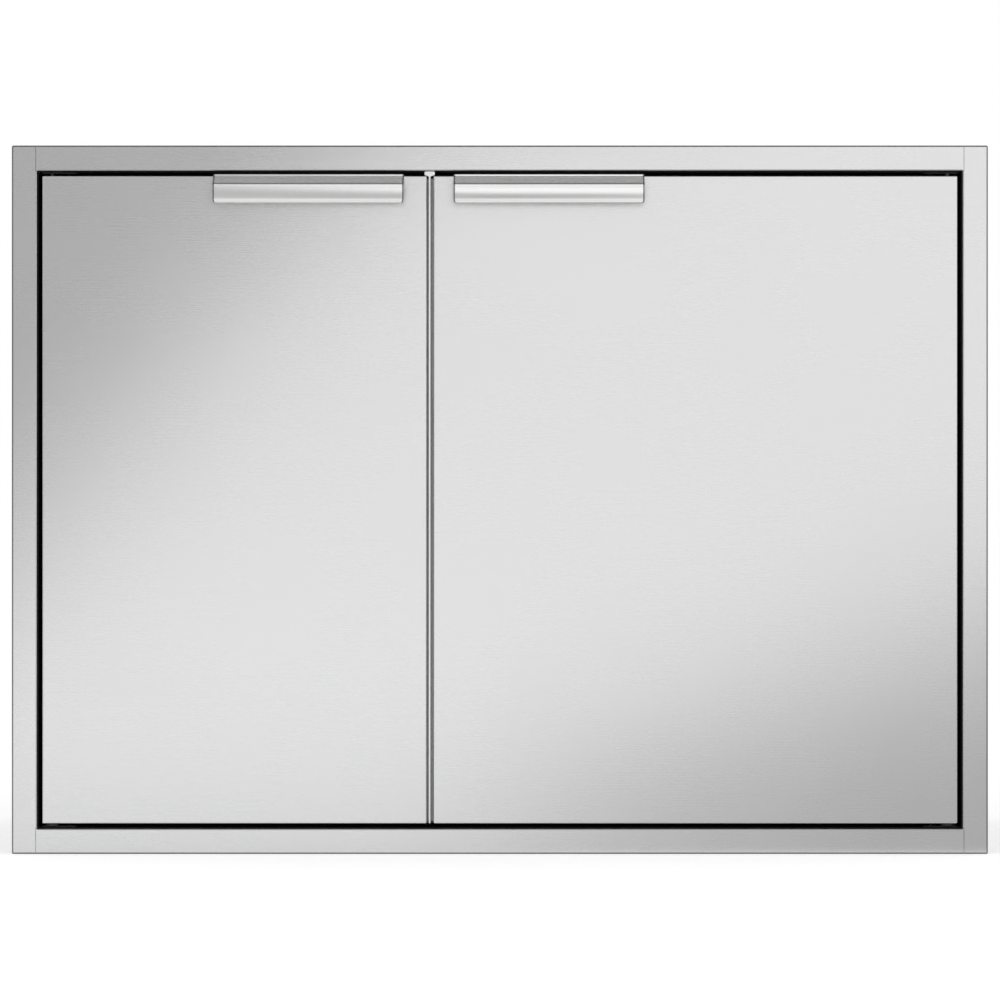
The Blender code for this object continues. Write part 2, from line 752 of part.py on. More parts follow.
def bracket_gaps():
    """Room behind the lining's front band for the pivot brackets."""
    boxes = []
    front = LINING_FRONT_DEPTH + LINING_FRONT_BAND
    rear = BRACKET_FRONT_DEPTH + BRACKET_DEPTH + SEAT_GAP
    top = OPENING_TOP + CUT_OVERRUN
    bottom = OPENING_BOTTOM - CUT_OVERRUN
    reach = SEAT_GAP + LINING_THICKNESS + CUT_OVERRUN
    for side in SIDES:
        outer = side.from_pivot(-BRACKET_OUTER - SEAT_GAP)
        inner = side.from_pivot(BRACKET_INNER + SEAT_GAP)
        low_x = min(outer, inner)
        high_x = max(outer, inner)
        boxes.append(((low_x, front, OPENING_TOP - reach), (high_x, rear, top)))
        boxes.append(((low_x, front, bottom), (high_x, rear, OPENING_BOTTOM + reach)))
    return boxes


def strip_gaps():
    """Room for the strip's head and foot at the top, and for the end of its foot at the bottom."""
    half = STRIP_FOOT_WIDTH / 2 + SEAT_GAP
    rear = RECESS_DEPTH + CUT_OVERRUN
    foot_front = RECESS_DEPTH - SEAT_GAP - STRIP_FOOT_THICKNESS - SEAT_GAP
    reach = SEAT_GAP + LINING_THICKNESS + LINING_BASE + CUT_OVERRUN
    top_low = (STRIP_CENTRE - half, -CUT_OVERRUN, OPENING_TOP - reach)
    top_high = (STRIP_CENTRE + half, rear, OPENING_TOP + CUT_OVERRUN)
    foot_low = (STRIP_CENTRE - half, foot_front, DOOR_BOTTOM - SEAT_GAP)
    foot_high = (STRIP_CENTRE + half, rear, OPENING_BOTTOM + reach)
    return ((top_low, top_high), (foot_low, foot_high))


def edge_lining():
    """Black rubber angle round the recess, on its walls and on the edge of the stop."""
    half = OPENING_HALF - SEAT_GAP - LINING_THICKNESS
    low_z = OPENING_BOTTOM + SEAT_GAP + LINING_THICKNESS
    high_z = OPENING_TOP - SEAT_GAP - LINING_THICKNESS
    base_depth = RECESS_DEPTH - SEAT_GAP - LINING_THICKNESS
    bm = bmesh.new()
    plate(bm, (-half, base_depth, low_z), (half * 2, 0.0, 0.0), (0.0, 0.0, high_z - low_z))
    face = bm.faces[:][0]
    bmesh.ops.inset_individual(
        bm, faces=[face], thickness=LINING_BASE, use_even_offset=True,
    )
    bmesh.ops.delete(bm, geom=[face], context="FACES_ONLY")
    middle = (low_z + high_z) / 2
    rim = free_edges(bm, lambda p: near(abs(p.x), half) or near(abs(p.z - middle), high_z - middle))
    fold(bm, rim, (0.0, LINING_FRONT_DEPTH - base_depth, 0.0))
    obj = new_part("edge_lining", bm, RUBBER, ROOT)
    give_gauge(obj, LINING_THICKNESS, LINING_BEND)
    for name, boxes in (("bracket_gaps", bracket_gaps()), ("strip_gaps", strip_gaps())):
        gaps = bmesh.new()
        for low, high in boxes:
            add_box(gaps, low, high)
        cut(obj, new_cutter(f"edge_lining_{name}", gaps))
    return obj


def door_gasket(side, door):
    """Ring seal on the back of the door, which meets the stop flange and the post."""
    low_x = min(side.hinge_edge, side.free_edge) + GASKET_INSET
    high_x = max(side.hinge_edge, side.free_edge) - GASKET_INSET
    low = (low_x, DOOR_BOTTOM + GASKET_INSET)
    high = (high_x, DOOR_TOP - GASKET_INSET)
    inner_low = (low[0] + GASKET_WIDTH, low[1] + GASKET_WIDTH)
    inner_high = (high[0] - GASKET_WIDTH, high[1] - GASKET_WIDTH)
    loops = [
        rounded_rectangle(low, high, GASKET_CORNER),
        rounded_rectangle(inner_low, inner_high, GASKET_INNER_CORNER),
    ]
    front = LINER_BACK_DEPTH + SEAT_GAP
    rear = RECESS_DEPTH - SEAT_GAP
    mesh = outline_mesh(
        f"door_gasket_{side.name}", loops, "XZ", (front + rear) / 2, rear - front, GASKET_ROUNDING,
    )
    return new_part(f"door_gasket_{side.name}", mesh, RUBBER, door)


# Pivot hinges

def bracket_outline(side):
    ends = sorted((side.from_pivot(-BRACKET_OUTER), side.from_pivot(BRACKET_INNER)))
    low = (ends[0], BRACKET_FRONT_DEPTH)
    high = (ends[1], BRACKET_FRONT_DEPTH + BRACKET_DEPTH)
    return rounded_rectangle(low, high, BRACKET_CORNER)


def bracket_screw_holes(side, low_z, brackets):
    """Two screw holes through a pivot bracket, inboard of the pin."""
    x = side.from_pivot(BRACKET_SCREW_OFFSET)
    middle = BRACKET_FRONT_DEPTH + BRACKET_DEPTH / 2
    holes = []
    for depth in (middle - BRACKET_SCREW_SPREAD, middle + BRACKET_SCREW_SPREAD):
        start = Vector((x, depth, low_z - CUT_OVERRUN / 2))
        length = BRACKET_THICKNESS + CUT_OVERRUN
        holes.append((start, Vector((0.0, 0.0, 1.0)), length, SCREW_HOLE_RADIUS))
    drill(f"{brackets[0].name}_screw_holes", holes, brackets)


def upper_bracket(side):
    middle = UPPER_BRACKET_TOP - BRACKET_THICKNESS / 2
    name = f"hinge_bracket_upper_{side.name}"
    mesh = outline_mesh(name, [bracket_outline(side)], "XY", middle, BRACKET_THICKNESS)
    return new_part(name, mesh, PLAIN_STEEL, ROOT)


def lower_bracket(side):
    """Plate on the bottom rail with the fixed pin that carries the door."""
    middle = LOWER_BRACKET_TOP - BRACKET_THICKNESS / 2
    name = f"hinge_bracket_lower_{side.name}"
    mesh = outline_mesh(name, [bracket_outline(side)], "XY", middle, BRACKET_THICKNESS)
    obj = new_part(name, mesh, PLAIN_STEEL, ROOT)
    height = BRACKET_THICKNESS / 2 + LOWER_PIN_HEIGHT
    profile = [
        (0.0, 0.0),
        (LOWER_PIN_RADIUS, 0.0),
        (LOWER_PIN_RADIUS, height - LOWER_PIN_CHAMFER),
        (LOWER_PIN_RADIUS - LOWER_PIN_CHAMFER, height),
        (0.0, height),
    ]
    bm = bmesh.new()
    turned(bm, profile, (side.pivot.x, side.pivot.y, middle), (0.0, 0.0, 1.0), PIN_STEPS)
    join(obj, bm, f"{name}_pin")
    return obj


def lower_bush(side, door):
    """Flanged bush in the bottom of the door, which turns on the fixed pin."""
    bore = LOWER_PIN_RADIUS + PIN_HOLE_CLEARANCE
    outer = bore + BUSH_WALL
    bottom = LOWER_BRACKET_TOP + SEAT_GAP
    seat = DOOR_BOTTOM - SEAT_GAP - bottom
    profile = [
        (bore, 0.0),
        (BUSH_FLANGE_RADIUS, 0.0),
        (BUSH_FLANGE_RADIUS, seat),
        (outer, seat),
        (outer, BUSH_HEIGHT),
        (bore, BUSH_HEIGHT),
        (bore, 0.0),
    ]
    bm = bmesh.new()
    turned(bm, profile, (side.pivot.x, side.pivot.y, bottom), (0.0, 0.0, 1.0), PIN_STEPS)
    obj = new_part(f"hinge_bush_{side.name}", close_out(bm), NYLON, door)
    shade_round(obj)
    return obj


def pin_bracket(side, door):
    """Folded bracket on the inside of the door's hinge edge; its two ears guide the sprung pin."""
    back = side.hinge_edge + side.inboard * (DOOR_GAUGE + SEAT_GAP)
    ear = side.from_pivot(PIN_BRACKET_REACH)
    top = DOOR_TOP - PIN_BRACKET_DROP
    bottom = top - PIN_BRACKET_HEIGHT
    near_depth = PIVOT_DEPTH - PIN_BRACKET_WIDTH / 2
    points = ((ear, near_depth, top), (back, near_depth, top), (back, near_depth, bottom),
              (ear, near_depth, bottom))
    bm = bmesh.new()
    strip(bm, points, (0.0, PIN_BRACKET_WIDTH, 0.0))
    face_towards(bm, Vector((-side.inboard, 0.0, 0.0)))
    obj = new_part(f"pin_bracket_{side.name}", bm, ZINC, door)
    return give_gauge(obj, PIN_BRACKET_GAUGE, 0.0)


def pin_path(side):
    """The pin's centre line from its tip down, round to the inboard arm and back to the grip."""
    x = side.pivot.x
    y = side.pivot.y
    low = PIN_TIP_Z - PIN_LENGTH
    points = [(x, y, PIN_TIP_Z), (x, y, PIN_TIP_Z - PIN_TIP_LENGTH)]
    for across, up in arc((PIN_BEND, PIN_BEND), PIN_BEND, math.pi, 1.5 * math.pi, 4):
        points.append((x + side.inboard * across, y, low + up))
    grip_x = PIN_ARM - PIN_BEND
    for across, back in arc((grip_x, PIN_BEND), PIN_BEND, -0.5 * math.pi, 0.0, 4):
        points.append((x + side.inboard * across, y + back, low))
    points.append((x + side.inboard * PIN_ARM, LINER_BACK_DEPTH + PIN_GRIP, low))
    return points


def collar_top():
    return DOOR_TOP - PIN_BRACKET_DROP - PIN_BRACKET_GAUGE - SEAT_GAP


def sprung_pin(side, carrier):
    name = f"hinge_pin_{side.name}"
    mesh = rod_mesh(name, pin_path(side), PIN_RADIUS, 1, PIN_TIP_RADIUS_SHARE)
    obj = new_part(name, mesh, BRIGHT_STEEL, carrier)
    profile = [
        (0.0, 0.0),
        (PIN_COLLAR_RADIUS, 0.0),
        (PIN_COLLAR_RADIUS, PIN_COLLAR_THICKNESS),
        (0.0, PIN_COLLAR_THICKNESS),
    ]
    bm = bmesh.new()
    bottom = collar_top() - PIN_COLLAR_THICKNESS
    turned(bm, profile, (side.pivot.x, side.pivot.y, bottom), (0.0, 0.0, 1.0), PIN_STEPS)
    join(obj, bm, f"{name}_collar")
    return obj


def pin_spring(side, carrier):
    """Coil between the pin's collar and the bracket's lower ear."""
    top = collar_top() - PIN_COLLAR_THICKNESS - SEAT_GAP - SPRING_WIRE
    ear = DOOR_TOP - PIN_BRACKET_DROP - PIN_BRACKET_HEIGHT + PIN_BRACKET_GAUGE
    bottom = ear + SEAT_GAP + SPRING_WIRE
    radius = PIN_RADIUS + SPRING_CLEARANCE + SPRING_WIRE / 2
    count = SPRING_TURNS * SPRING_TURN_POINTS
    points = []
    for index in range(count + 1):
        share = index / count
        angle = math.tau * SPRING_TURNS * share
        x = side.pivot.x + radius * math.cos(angle)
        y = side.pivot.y + radius * math.sin(angle)
        points.append((x, y, bottom + (top - bottom) * share))
    name = f"pin_spring_{side.name}"
    mesh = rod_mesh(name, points, SPRING_WIRE / 2, 0)
    return new_part(name, mesh, ZINC, carrier)


# Doors

def door_skin(side, door):
    """Outer pan of the door: face, returns and back flanges from one sheet."""
    low_x = min(side.hinge_edge, side.free_edge)
    high_x = max(side.hinge_edge, side.free_edge)
    return flanged_pan(
        f"door_skin_{side.name}", (low_x, 0.0, DOOR_BOTTOM), (high_x, 0.0, DOOR_TOP),
        (0.0, -1.0, 0.0), DOOR_THICKNESS, DOOR_BACK_FLANGE, DOOR_GAUGE, DOOR_BEND,
        BRUSHED_STEEL, door,
    )


def door_liner(side, door):
    """Inner sheet of the door, pressed slightly outwards in its middle field."""
    low_x = min(side.hinge_edge, side.free_edge) + LINER_INSET
    high_x = max(side.hinge_edge, side.free_edge) - LINER_INSET
    low_z = DOOR_BOTTOM + LINER_INSET
    high_z = DOOR_TOP - LINER_INSET
    bm = bmesh.new()
    plate(
        bm, (high_x, LINER_BACK_DEPTH, low_z), (low_x - high_x, 0.0, 0.0),
        (0.0, 0.0, high_z - low_z),
    )
    face = bm.faces[:][0]
    for inset in (LINER_CROWN_INSET, LINER_CROWN_SLOPE):
        bmesh.ops.inset_individual(bm, faces=[face], thickness=inset, use_even_offset=True)
    for vert in face.verts:
        vert.co.y -= LINER_CROWN
    obj = new_part(f"door_liner_{side.name}", bm, PLAIN_STEEL, door)
    return give_gauge(obj, LINER_GAUGE, 0.0)


def handle_profile():
    """Open section of the edge pull: top flange, slope, hollow front and turned-back lip."""
    top = DOOR_TOP + SEAT_GAP + HANDLE_GAUGE
    crease = (-HANDLE_REACH + HANDLE_HOLLOW / 2, top - HANDLE_SLOPE_DROP)
    low = top - HANDLE_HEIGHT
    points = [(HANDLE_FLANGE, top), (-HANDLE_SLOPE_START, top), crease]
    span = crease[1] - low
    for step in range(1, HANDLE_CURVE_STEPS + 1):
        share = step / HANDLE_CURVE_STEPS
        hollow = HANDLE_HOLLOW * math.sin(math.pi * share)
        lean = (-HANDLE_REACH - crease[0]) * share
        points.append((crease[0] + lean + hollow, crease[1] - span * share))
    points.append((-HANDLE_REACH + HANDLE_RETURN, low))
    return points


def door_handle(side, door):
    start = side.free_edge - side.inboard * side.handle_inset
    end = start - side.inboard * HANDLE_LENGTH
    low_x = min(start, end)
    bm = bmesh.new()
    strip(bm, [(low_x, depth, z) for depth, z in handle_profile()], (HANDLE_LENGTH, 0.0, 0.0))
    face_towards(bm, Vector((0.0, -1.0, 1.0)))
    obj = new_part(f"door_handle_{side.name}", bm, BRIGHT_STEEL, door)
    give_gauge(obj, HANDLE_GAUGE, HANDLE_BEND)
    shade_round(obj)
    return obj


def handle_screw_holes(side, handle, skin):
    start = side.free_edge - side.inboard * side.handle_inset
    length = CUT_OVERRUN * 2 + HANDLE_GAUGE + DOOR_GAUGE
    holes = []
    for distance in (HANDLE_SCREW_INSET, HANDLE_LENGTH - HANDLE_SCREW_INSET):
        x = start - side.inboard * distance
        place = Vector((x, HANDLE_SCREW_DEPTH, DOOR_TOP - DOOR_GAUGE - CUT_OVERRUN))
        holes.append((place, Vector((0.0, 0.0, 1.0)), length, SCREW_HOLE_RADIUS))
    drill(f"{side.name}_handle_screw_holes", holes, [handle, skin])


# Catches

def catch_span(side):
    """The catch's two ends in x, near the door's free edge."""
    start = side.free_edge - side.inboard * CATCH_SIDE
    return sorted((start, start - side.inboard * CATCH_LENGTH))


def magnetic_catch(side):
    """Magnet case fixed under the top stop, its face just short of the door's strike plate."""
    low_x, high_x = catch_span(side)
    top = OPENING_TOP - STOP_WIDTH - SEAT_GAP
    front = strike_back_depth() + SEAT_GAP
    bm = bmesh.new()
    add_box(bm, (low_x, front, top - CATCH_HEIGHT), (high_x, front + CATCH_DEPTH, top))
    bmesh.ops.bevel(
        bm, geom=bm.edges[:], offset=CATCH_ROUNDING, segments=1, affect="EDGES", profile=0.5,
    )
    return new_part(f"magnet_catch_{side.name}", close_out(bm), CATCH_PLASTIC, ROOT)


def strike_back_depth():
    return LINER_BACK_DEPTH + SEAT_GAP + STRIKE_THICKNESS


def strike_plate(side, door):
    low_x, high_x = catch_span(side)
    top = OPENING_TOP - STOP_WIDTH - SEAT_GAP
    low = (low_x - STRIKE_MARGIN / 2, top - CATCH_HEIGHT)
    high = (high_x + STRIKE_MARGIN / 2, top - STRIKE_MARGIN / 2)
    middle = LINER_BACK_DEPTH + SEAT_GAP + STRIKE_THICKNESS / 2
    loop = rounded_rectangle(low, high, STRIKE_CORNER)
    mesh = outline_mesh(f"strike_plate_{side.name}", [loop], "XZ", middle, STRIKE_THICKNESS)
    return new_part(f"strike_plate_{side.name}", mesh, ZINC, door)


# Shelves

def compartment(side):
    """The inner faces of the walls on both sides of a compartment."""
    wall = -side.inboard * BOX_INNER_HALF
    partition = STRIP_CENTRE - side.inboard * DIVIDER_THICKNESS / 2
    return wall, partition


def standard_depths():
    return (STANDARD_FRONT_DEPTH, BACK_FACE_DEPTH - STANDARD_BACK_CLEARANCE)


def slot_height(index):
    return FLOOR_TOP + STANDARD_MARGIN + SLOT_PITCH * (index + 0.5)


def shelf_standard(name, wall, facing, depth):
    """One slotted upright on a wall; facing is +1 where it looks towards +X."""
    bottom = FLOOR_TOP + STANDARD_MARGIN
    seat = wall + facing * SEAT_GAP
    face = seat + facing * STANDARD_DEPTH
    near_edge = depth - STANDARD_WIDTH / 2
    far_edge = depth + STANDARD_WIDTH / 2
    profile = (
        (seat, near_edge, bottom), (face, near_edge, bottom),
        (face, far_edge, bottom), (seat, far_edge, bottom),
    )
    bm = bmesh.new()
    strip(bm, profile, (0.0, 0.0, SLOT_PITCH * SLOT_COUNT))
    face_towards(bm, Vector((facing, 0.0, 0.0)))
    obj = give_gauge(new_part(name, bm, PLAIN_STEEL, ROOT), STANDARD_GAUGE, 0.0)
    slots = bmesh.new()
    ends = sorted((face - facing * CUT_OVERRUN, face + facing * CUT_OVERRUN))
    for index in range(SLOT_COUNT):
        middle = slot_height(index)
        add_box(
            slots, (ends[0], depth - SLOT_WIDTH / 2, middle - SLOT_HEIGHT / 2),
            (ends[1], depth + SLOT_WIDTH / 2, middle + SLOT_HEIGHT / 2),
        )
    cut(obj, new_cutter(f"{name}_slots", slots))
    return obj


def runner_top(slot):
    return slot_height(slot) - RUNNER_DROP


def shelf_runner(name, wall, facing, slot):
    """Angle that hooks into the front and rear standards of one wall and carries a shelf's end."""
    face = wall + facing * (SEAT_GAP + STANDARD_DEPTH)
    leg = face + facing * (SEAT_GAP + RUNNER_GAUGE)
    front, rear = standard_depths()
    near_edge = front - RUNNER_END
    profile = (
        (leg, near_edge, slot_height(slot) + RUNNER_RISE),
        (leg, near_edge, runner_top(slot)),
        (leg + facing * RUNNER_TAB, near_edge, runner_top(slot)),
    )
    bm = bmesh.new()
    strip(bm, profile, (0.0, rear - front + RUNNER_END * 2, 0.0))
    face_towards(bm, Vector((facing, 0.0, 1.0)))
    obj = give_gauge(new_part(name, bm, ZINC, ROOT), RUNNER_GAUGE, RUNNER_BEND)
    hooks = bmesh.new()
    half_width = SLOT_WIDTH / 2 - HOOK_CLEARANCE
    half_height = SLOT_HEIGHT / 2 - HOOK_CLEARANCE
    ends = sorted((face - facing * HOOK_REACH, leg - facing * RUNNER_GAUGE / 2))
    for depth in (front, rear):
        add_box(
            hooks, (ends[0], depth - half_width, slot_height(slot) - half_height),
            (ends[1], depth + half_width, slot_height(slot) + half_height),
        )
    join(obj, hooks, f"{name}_hooks")
    return obj


def shelf(name, side, slot):
    """Shelf with deep front and rear edges turned down and under."""
    wall, partition = compartment(side)
    low_x = min(wall, partition) + SHELF_SIDE_CLEARANCE
    high_x = max(wall, partition) - SHELF_SIDE_CLEARANCE
    rear = BACK_FACE_DEPTH - SHELF_BACK_CLEARANCE
    top = runner_top(slot) + SEAT_GAP + SHELF_GAUGE
    low = top - SHELF_FLANGE
    profile = (
        (low_x, rear - SHELF_RETURN, low),
        (low_x, rear, low),
        (low_x, rear, top),
        (low_x, SHELF_FRONT_DEPTH, top),
        (low_x, SHELF_FRONT_DEPTH, low),
        (low_x, SHELF_FRONT_DEPTH + SHELF_RETURN, low),
    )
    bm = bmesh.new()
    strip(bm, profile, (high_x - low_x, 0.0, 0.0))
    face_towards(bm, Vector((0.0, 0.0, 1.0)))
    return give_gauge(new_part(name, bm, BRUSHED_STEEL, ROOT), SHELF_GAUGE, SHELF_BEND)


# Assembly

def build_door(side):
    door = new_empty(f"{side.name}_door_axis", side.pivot, ROOT)
    skin = door_skin(side, door)
    liner = door_liner(side, door)
    door_gasket(side, door)
    handle = door_handle(side, door)
    handle_screw_holes(side, handle, skin)
    strike_plate(side, door)
    lower_bush(side, door)
    bracket = pin_bracket(side, door)
    up = Vector((0.0, 0.0, 1.0))
    bottom_hole = LOWER_PIN_RADIUS + PIN_HOLE_CLEARANCE + BUSH_WALL + SEAT_GAP
    start = Vector((side.pivot.x, side.pivot.y, DOOR_BOTTOM - CUT_OVERRUN))
    length = DOOR_GAUGE + CUT_OVERRUN * 2
    drill(f"{side.name}_bush_hole", [(start, up, length, bottom_hole)], [skin], PIN_STEPS)
    pin_hole = PIN_RADIUS + PIN_HOLE_CLEARANCE
    low = DOOR_TOP - PIN_BRACKET_DROP - PIN_BRACKET_HEIGHT - CUT_OVERRUN
    start = Vector((side.pivot.x, side.pivot.y, low))
    length = CEILING_BOTTOM + BOX_GAUGE + CUT_OVERRUN - low
    drill(f"{side.name}_pin_hole", [(start, up, length, pin_hole)], [skin, bracket], PIN_STEPS)
    cut_grip_slot(side, liner)
    return skin


def cut_grip_slot(side, liner):
    """Slot in the liner for the sprung pin's grip, as long as the pin's travel."""
    x = side.from_pivot(PIN_ARM)
    half = PIN_RADIUS + SLOT_SIDE_CLEARANCE
    low = PIN_TIP_Z - PIN_LENGTH - PIN_TRAVEL
    bm = bmesh.new()
    add_box(
        bm, (x - half, DOOR_THICKNESS - CUT_OVERRUN, low - half),
        (x + half, LINER_BACK_DEPTH + CUT_OVERRUN, low + PIN_TRAVEL + half),
    )
    cut(liner, new_cutter(f"{side.name}_grip_slot", bm))


def build_hinge_hardware(side, rail_top, ceiling):
    upper = upper_bracket(side)
    lower = lower_bracket(side)
    pin_hole = PIN_RADIUS + PIN_HOLE_CLEARANCE
    start = Vector((side.pivot.x, side.pivot.y, DOOR_TOP))
    length = CEILING_BOTTOM + BOX_GAUGE + CUT_OVERRUN - DOOR_TOP
    hole = (start, Vector((0.0, 0.0, 1.0)), length, pin_hole)
    drill(f"{side.name}_rail_hole", [hole], [upper, rail_top, ceiling], PIN_STEPS)
    bracket_screw_holes(side, UPPER_BRACKET_TOP - BRACKET_THICKNESS, [upper])
    bracket_screw_holes(side, LOWER_BRACKET_TOP - BRACKET_THICKNESS, [lower])


def build_shelving(side):
    wall, partition = compartment(side)
    levels = (("lower", LOWER_SHELF_SLOT), ("upper", UPPER_SHELF_SLOT))
    for place, face, facing in (("wall", wall, side.inboard), ("divider", partition, -side.inboard)):
        for end, depth in zip(("front", "rear"), standard_depths()):
            shelf_standard(f"shelf_standard_{side.name}_{place}_{end}", face, facing, depth)
        for level, slot in levels:
            shelf_runner(f"shelf_runner_{side.name}_{place}_{level}", face, facing, slot)
    for level, slot in levels:
        shelf(f"shelf_{side.name}_{level}", side, slot)


def build_pins(side):
    carrier = new_empty(f"{side.name}_pin_axis", side.pivot, ROOT)
    sprung_pin(side, carrier)
    pin_spring(side, carrier)


def build_cabinet():
    for side in SIDES:
        frame_stile(side)
        side_panel(side)
    rail_top = frame_rail("frame_rail_top", True)
    frame_rail("frame_rail_bottom", False)
    ceiling = floor_and_ceiling()
    back_panel()
    divider_panel()
    mullion_post()
    mullion_strip()
    edge_lining()
    for side in SIDES:
        build_hinge_hardware(side, rail_top, ceiling)
        magnetic_catch(side)
        build_shelving(side)
        build_door(side)
        build_pins(side)


clear_scene()
PARTS = new_collection("pantry_cabinet")
CUTTERS = new_collection("cutters", hidden=True)
ROOT = new_empty("cabinet_front_face", (0.0, FACE_Y, 0.0))
build_cabinet()
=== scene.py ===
"""Dresses the packed pantry cabinet: folded sheet, seals, pulls, fasteners and steel finishes.

Laid out as an add-on, and run as a script. Lengths are metres. Pieces are drawn in cabinet space,
where y is the depth behind the front face of the trim frame, and are then moved by FACE_Y.
"""

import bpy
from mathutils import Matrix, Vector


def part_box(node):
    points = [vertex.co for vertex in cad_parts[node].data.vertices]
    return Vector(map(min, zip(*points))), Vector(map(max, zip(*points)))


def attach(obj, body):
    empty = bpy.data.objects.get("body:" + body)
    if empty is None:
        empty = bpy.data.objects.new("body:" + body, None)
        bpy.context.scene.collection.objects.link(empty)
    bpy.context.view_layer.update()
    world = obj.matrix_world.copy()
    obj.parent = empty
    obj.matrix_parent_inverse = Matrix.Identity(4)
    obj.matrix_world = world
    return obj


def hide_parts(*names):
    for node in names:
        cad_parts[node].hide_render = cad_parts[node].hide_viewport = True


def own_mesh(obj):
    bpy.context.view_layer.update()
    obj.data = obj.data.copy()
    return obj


bl_info = {
    "name": "Pantry Cabinet Dressing",
    "version": (1, 0, 0),
    "blender": (4, 5, 0),
    "location": "3D View > Sidebar > Pantry",
    "description": "Dresses a built-in steel pantry cabinet with folded sheet, seals and fasteners",
    "category": "Object",
}

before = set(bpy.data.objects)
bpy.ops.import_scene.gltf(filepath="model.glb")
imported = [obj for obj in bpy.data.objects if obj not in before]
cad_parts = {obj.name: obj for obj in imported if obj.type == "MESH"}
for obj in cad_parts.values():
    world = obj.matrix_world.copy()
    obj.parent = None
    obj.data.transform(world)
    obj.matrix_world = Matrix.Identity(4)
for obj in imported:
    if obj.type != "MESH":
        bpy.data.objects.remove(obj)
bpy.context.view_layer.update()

import math

import bmesh
import bpy
from bpy.props import FloatProperty, FloatVectorProperty, IntProperty, PointerProperty
from mathutils import Matrix, Vector

FACE_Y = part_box("frame_rail_top")[0].y
HALF_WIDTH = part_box("frame_stile_right")[1].x
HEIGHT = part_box("frame_stile_right")[1].z
MIDDLE = Vector((0.0, 0.0, HEIGHT / 2))
PULL_REACH = FACE_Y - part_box("door_handle_left")[0].y

SEAT_GAP = 0.0003
SNUG = 0.0002
OVERRUN = 0.0040
WELD = 0.00001
SHARP = math.radians(34)
UP = Vector((0.0, 0.0, 1.0))
FORWARD = Vector((0.0, -1.0, 0.0))
ORIGIN = (0.0, 0.0, 0.0)
SIDES = ("left", "right")

# Sizes of the packed hinge parts, which the pieces round them follow
PIN_RADIUS = 0.0025
PIN_HOLE = 0.0031
PIN_TRAVEL = 0.0085
GRIP_CLEARANCE = 0.0008
BUSH_HOLE = 0.0055
BRACKET_GAUGE = 0.0020
SPRING_WIRE = 0.00045
SPRING_TURNS = 9.0


# Settings

def prop_maker(kind, **fixed):
    def make(name, description, default):
        return kind(name=name, description=description, default=default, min=0, **fixed)
    return make


length = prop_maker(FloatProperty, unit="LENGTH", precision=5)
colour = prop_maker(FloatVectorProperty, size=3, max=1.0, subtype="COLOR")
factor = prop_maker(FloatProperty, max=1.0, subtype="FACTOR")
power = prop_maker(FloatProperty, unit="POWER")
number = prop_maker(IntProperty)


class FinishSettings(bpy.types.PropertyGroup):
    """Colours and roughness of the cabinet's finishes."""

    brushed: colour("Brushed steel", "Fronts of the trim frame and doors", (0.785, 0.792, 0.786))
    plain: colour("Plain steel", "Mill finish of the box behind the frame", (0.66, 0.665, 0.66))
    pull: colour("Pulls", "Brighter steel of the edge pulls", (0.97, 0.972, 0.965))
    zinc: colour("Zinc", "Plated brackets and runners", (0.60, 0.63, 0.66))
    rubber: colour("Rubber", "Seals and linings", (0.006, 0.006, 0.006))
    nylon: colour("Nylon", "Bushes of the hinges", (0.014, 0.014, 0.015))
    case: colour("Catch case", "Moulded case of the catches", (0.02, 0.02, 0.022))
    brushed_roughness: factor("Brushed roughness", "Roughness of the fronts", 0.27)
    plain_roughness: factor("Plain roughness", "Roughness of the box", 0.36)
    pull_roughness: factor("Pull roughness", "Roughness of the pulls", 0.20)
    # Painted shade: the trim frame's outer folds take a darker copy of the brushed steel, for the
    # dark line that the bends show
    edge_shade: factor("Fold shade", "Brightness of the trim frame's outer folds", 0.32)
    # Painted shade: the folds round the opening take a less dark copy of the brushed steel
    opening_shade: factor("Opening shade", "Brightness of the folds round the opening", 0.66)


class TrimSettings(bpy.types.PropertyGroup):
    """Sections of the trim frame."""

    face: length("Face", "Width of the frame's face", 0.0238)
    gauge: length("Gauge", "Sheet thickness", 0.0010)
    bend: length("Bend", "Size of the folds", 0.00145)
    leg: length("Leg", "Depth of the outer edge", 0.0100)
    lip: length("Lip", "Width of the turned-in rear lip", 0.0100)
    seam_step: length("Seam step", "How far the seam lies outside the opening", 0.0015)
    recess: length("Recess", "Depth from the face to the stop", 0.0250)
    stop: length("Stop", "Width of the stop flange", 0.0280)
    seam: length("Seam", "Gap between the stiles and the rails", 0.0004)
    stop_lip: length("Stop lip", "Depth of the stop's rear lip", 0.0080)


class PanelSettings(bpy.types.PropertyGroup):
    """Panels of the box, with pressed fields that stiffen them."""

    gauge: length("Gauge", "Sheet thickness", 0.0010)
    bend: length("Bend", "Size of the folds", 0.00118)
    lip: length("Lip", "Width of the turned-in edges of floor and ceiling", 0.0120)
    margin: length("Margin", "Flat sheet round a pressed field", 0.0320)
    corner: length("Corner", "Radius of a field's corners", 0.0300)
    slope: length("Slope", "Width of the slope round a field", 0.0080)
    height: length("Height", "Height of a pressed field", 0.0020)


